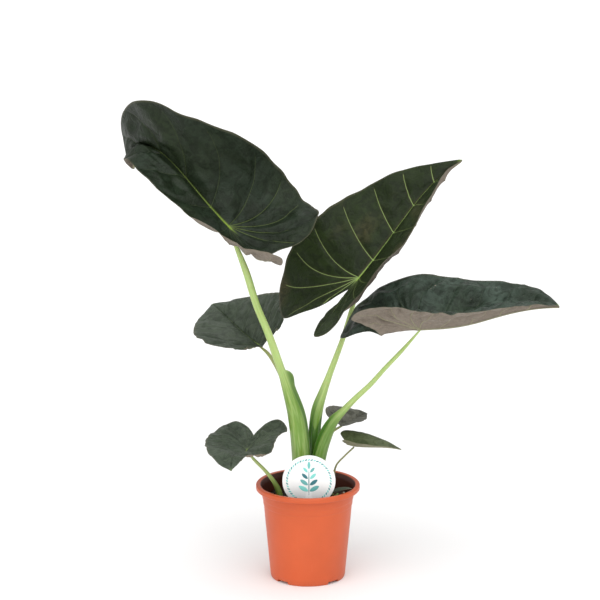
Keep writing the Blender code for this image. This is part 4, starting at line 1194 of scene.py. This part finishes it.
class AlocasiaBladeSettings(bpy.types.PropertyGroup):
    """Blades of the leaves."""

    thickness: bpy.props.FloatProperty(
        name="Thickness", description="Thickness of a big blade near its midrib", unit="LENGTH",
        default=0.0011, min=0.0005, max=0.003)
    vein_depth: bpy.props.FloatProperty(
        name="Vein depth", description="Strength of the grooves and ribs", subtype="FACTOR",
        default=1.0, min=0, max=2)
    roughness: bpy.props.FloatProperty(
        name="Roughness", description="Roughness of the upper side", subtype="FACTOR",
        default=0.44, min=0, max=1)


class AlocasiaStalkSettings(bpy.types.PropertyGroup):
    """Stalks and sheaths."""

    pale: bpy.props.FloatVectorProperty(
        name="Pale green", description="Colour of the upper stalks", subtype="COLOR", size=4, min=0, max=1,
        default=linear(182, 202, 128))
    sheath: bpy.props.FloatVectorProperty(
        name="Sheath green", description="Colour of the sheaths", subtype="COLOR", size=4, min=0, max=1,
        default=linear(116, 152, 58))
    roughness: bpy.props.FloatProperty(
        name="Roughness", description="Roughness of the skin", subtype="FACTOR", default=0.38, min=0, max=1)


class AlocasiaStageSettings(bpy.types.PropertyGroup):
    """Floor, lamps and camera."""

    floor_size: bpy.props.FloatProperty(
        name="Floor size", description="Half the width of the floor", unit="LENGTH",
        default=30.0, min=2, max=60)
    daylight: bpy.props.FloatProperty(
        name="Daylight", description="Brightness of the white room", default=0.72, min=0, max=10)
    key_light: bpy.props.FloatProperty(
        name="Key light", description="Strength of the soft main light", default=2.0, min=0, max=20)


GROUPS = {
    "alocasia_pot": AlocasiaPotSettings,
    "alocasia_soil": AlocasiaSoilSettings,
    "alocasia_label": AlocasiaLabelSettings,
    "alocasia_blade": AlocasiaBladeSettings,
    "alocasia_stalk": AlocasiaStalkSettings,
    "alocasia_stage": AlocasiaStageSettings,
}


# ---------------------------------------------------------------- operators
FLOOR_DROP = 0.0002             # the floor lies this far under the pot
CAMERA_PLACE = (-0.0129, -4.0, 1.429)
CAMERA_TILT = 13.54             # degrees down from level
CAMERA_LENS = 153.4             # focal length, millimetres


class ALOCASIA_OT_pot(bpy.types.Operator):
    """Build the moulded pot"""

    bl_idname = "alocasia.pot"
    bl_label = "Pot"

    def execute(self, context):
        make_pot(context.scene.alocasia_pot)
        return {"FINISHED"}


class ALOCASIA_OT_soil(bpy.types.Operator):
    """Build the soil bed and its crumbs"""

    bl_idname = "alocasia.soil"
    bl_label = "Soil"

    def execute(self, context):
        make_soil(context.scene.alocasia_soil)
        make_crumbs(context.scene.alocasia_soil)
        return {"FINISHED"}


class ALOCASIA_OT_corm(bpy.types.Operator):
    """Build the corm"""

    bl_idname = "alocasia.corm"
    bl_label = "Corm"

    def execute(self, context):
        make_corm(context.scene.alocasia_soil)
        return {"FINISHED"}


class ALOCASIA_OT_label(bpy.types.Operator):
    """Build the plant label and its plain print"""

    bl_idname = "alocasia.label"
    bl_label = "Label"

    def execute(self, context):
        make_label(context.scene.alocasia_label)
        return {"FINISHED"}


class ALOCASIA_OT_stalks(bpy.types.Operator):
    """Build the eight stalks with their sheaths"""

    bl_idname = "alocasia.stalks"
    bl_label = "Stalks"

    def execute(self, context):
        material = stalk_material(context.scene.alocasia_stalk)
        for number in STALKS:
            make_stalk(number, material)
        return {"FINISHED"}


class ALOCASIA_OT_blades(bpy.types.Operator):
    """Build the eight heart-shaped blades"""

    bl_idname = "alocasia.blades"
    bl_label = "Blades"

    def execute(self, context):
        settings = context.scene.alocasia_blade
        materials = {name: blade_material(name, settings) for name in SKINS}
        for number in LEAVES:
            make_blade(number, materials, settings)
        return {"FINISHED"}


class ALOCASIA_OT_stage(bpy.types.Operator):
    """Lay the floor, hang the lamps and set the camera"""

    bl_idname = "alocasia.stage"
    bl_label = "Stage"

    def execute(self, context):
        settings = context.scene.alocasia_stage
        reach = settings.floor_size
        places = reach * np.array([(-1, -1, 0), (1, -1, 0), (1, 1, 0), (-1, 1, 0)])
        floor = put_mesh("studio_floor", places - (0, 0, FLOOR_DROP), np.array([(0, 1, 2, 3)]))
        floor.data.materials.append(floor_material())
        world = bpy.data.worlds.new("white_room")
        world.use_nodes = True
        room = world.node_tree.nodes["Background"]
        room.inputs["Color"].default_value = (1.0, 1.0, 1.0, 1.0)
        room.inputs["Strength"].default_value = settings.daylight
        context.scene.world = world
        context.scene.view_settings.view_transform = "Standard"
        self.lamp("key_light", (-0.5, -3.2, 3.4), settings.key_light, 80)
        self.lamp("top_light", (0.6, 0.8, 4.0), settings.key_light * 0.30, 90)
        camera = bpy.data.cameras.new("camera")
        camera.lens = CAMERA_LENS
        camera.sensor_width = 36.0
        camera.clip_end = 100.0
        holder = bpy.data.objects.new("camera", camera)
        holder.location = CAMERA_PLACE
        holder.rotation_euler = Euler((math.radians(90 - CAMERA_TILT), 0.0, 0.0))
        context.scene.collection.objects.link(holder)
        context.scene.camera = holder
        return {"FINISHED"}

    def lamp(self, name, place, strength, spread):
        """A soft far lamp that shines from its place towards the plant, spread degrees wide."""
        light = bpy.data.lights.new(name, "SUN")
        light.angle = math.radians(spread)
        light.energy = strength
        made = bpy.data.objects.new(name, light)
        made.location = place
        pitch = math.atan2(math.hypot(place[0], place[1]), place[2])
        made.rotation_euler = Euler((pitch, 0.0, math.atan2(-place[0], place[1]) + math.pi))
        bpy.context.scene.collection.objects.link(made)


class ALOCASIA_PT_panel(bpy.types.Panel):
    """Lists the plant's pieces and their settings"""

    bl_idname = "ALOCASIA_PT_panel"
    bl_label = "Potted alocasia"
    bl_space_type = "VIEW_3D"
    bl_region_type = "UI"
    bl_category = "Alocasia"

    def draw(self, context):
        for group, kind in GROUPS.items():
            box = self.layout.box()
            for key in kind.__annotations__:
                box.prop(getattr(context.scene, group), key)
        for step in STEPS:
            self.layout.operator(step.bl_idname)


STEPS = (ALOCASIA_OT_pot, ALOCASIA_OT_soil, ALOCASIA_OT_corm, ALOCASIA_OT_label, ALOCASIA_OT_stalks,
         ALOCASIA_OT_blades, ALOCASIA_OT_stage)


def register():
    """Adds the classes and the scene's settings."""
    for kind in (*GROUPS.values(), *STEPS, ALOCASIA_PT_panel):
        bpy.utils.register_class(kind)
    for group, kind in GROUPS.items():
        setattr(bpy.types.Scene, group, bpy.props.PointerProperty(type=kind))


def unregister():
    """Takes them away again."""
    for group in GROUPS:
        delattr(bpy.types.Scene, group)
    for kind in reversed((*GROUPS.values(), *STEPS, ALOCASIA_PT_panel)):
        bpy.utils.unregister_class(kind)


def main():
    """Builds every piece."""
    register()
    bpy.ops.alocasia.pot()
    bpy.ops.alocasia.soil()
    bpy.ops.alocasia.corm()
    bpy.ops.alocasia.label()
    bpy.ops.alocasia.stalks()
    bpy.ops.alocasia.blades()
    bpy.ops.alocasia.stage()
    bpy.context.view_layer.update()


if __name__ == "__main__":
    main()
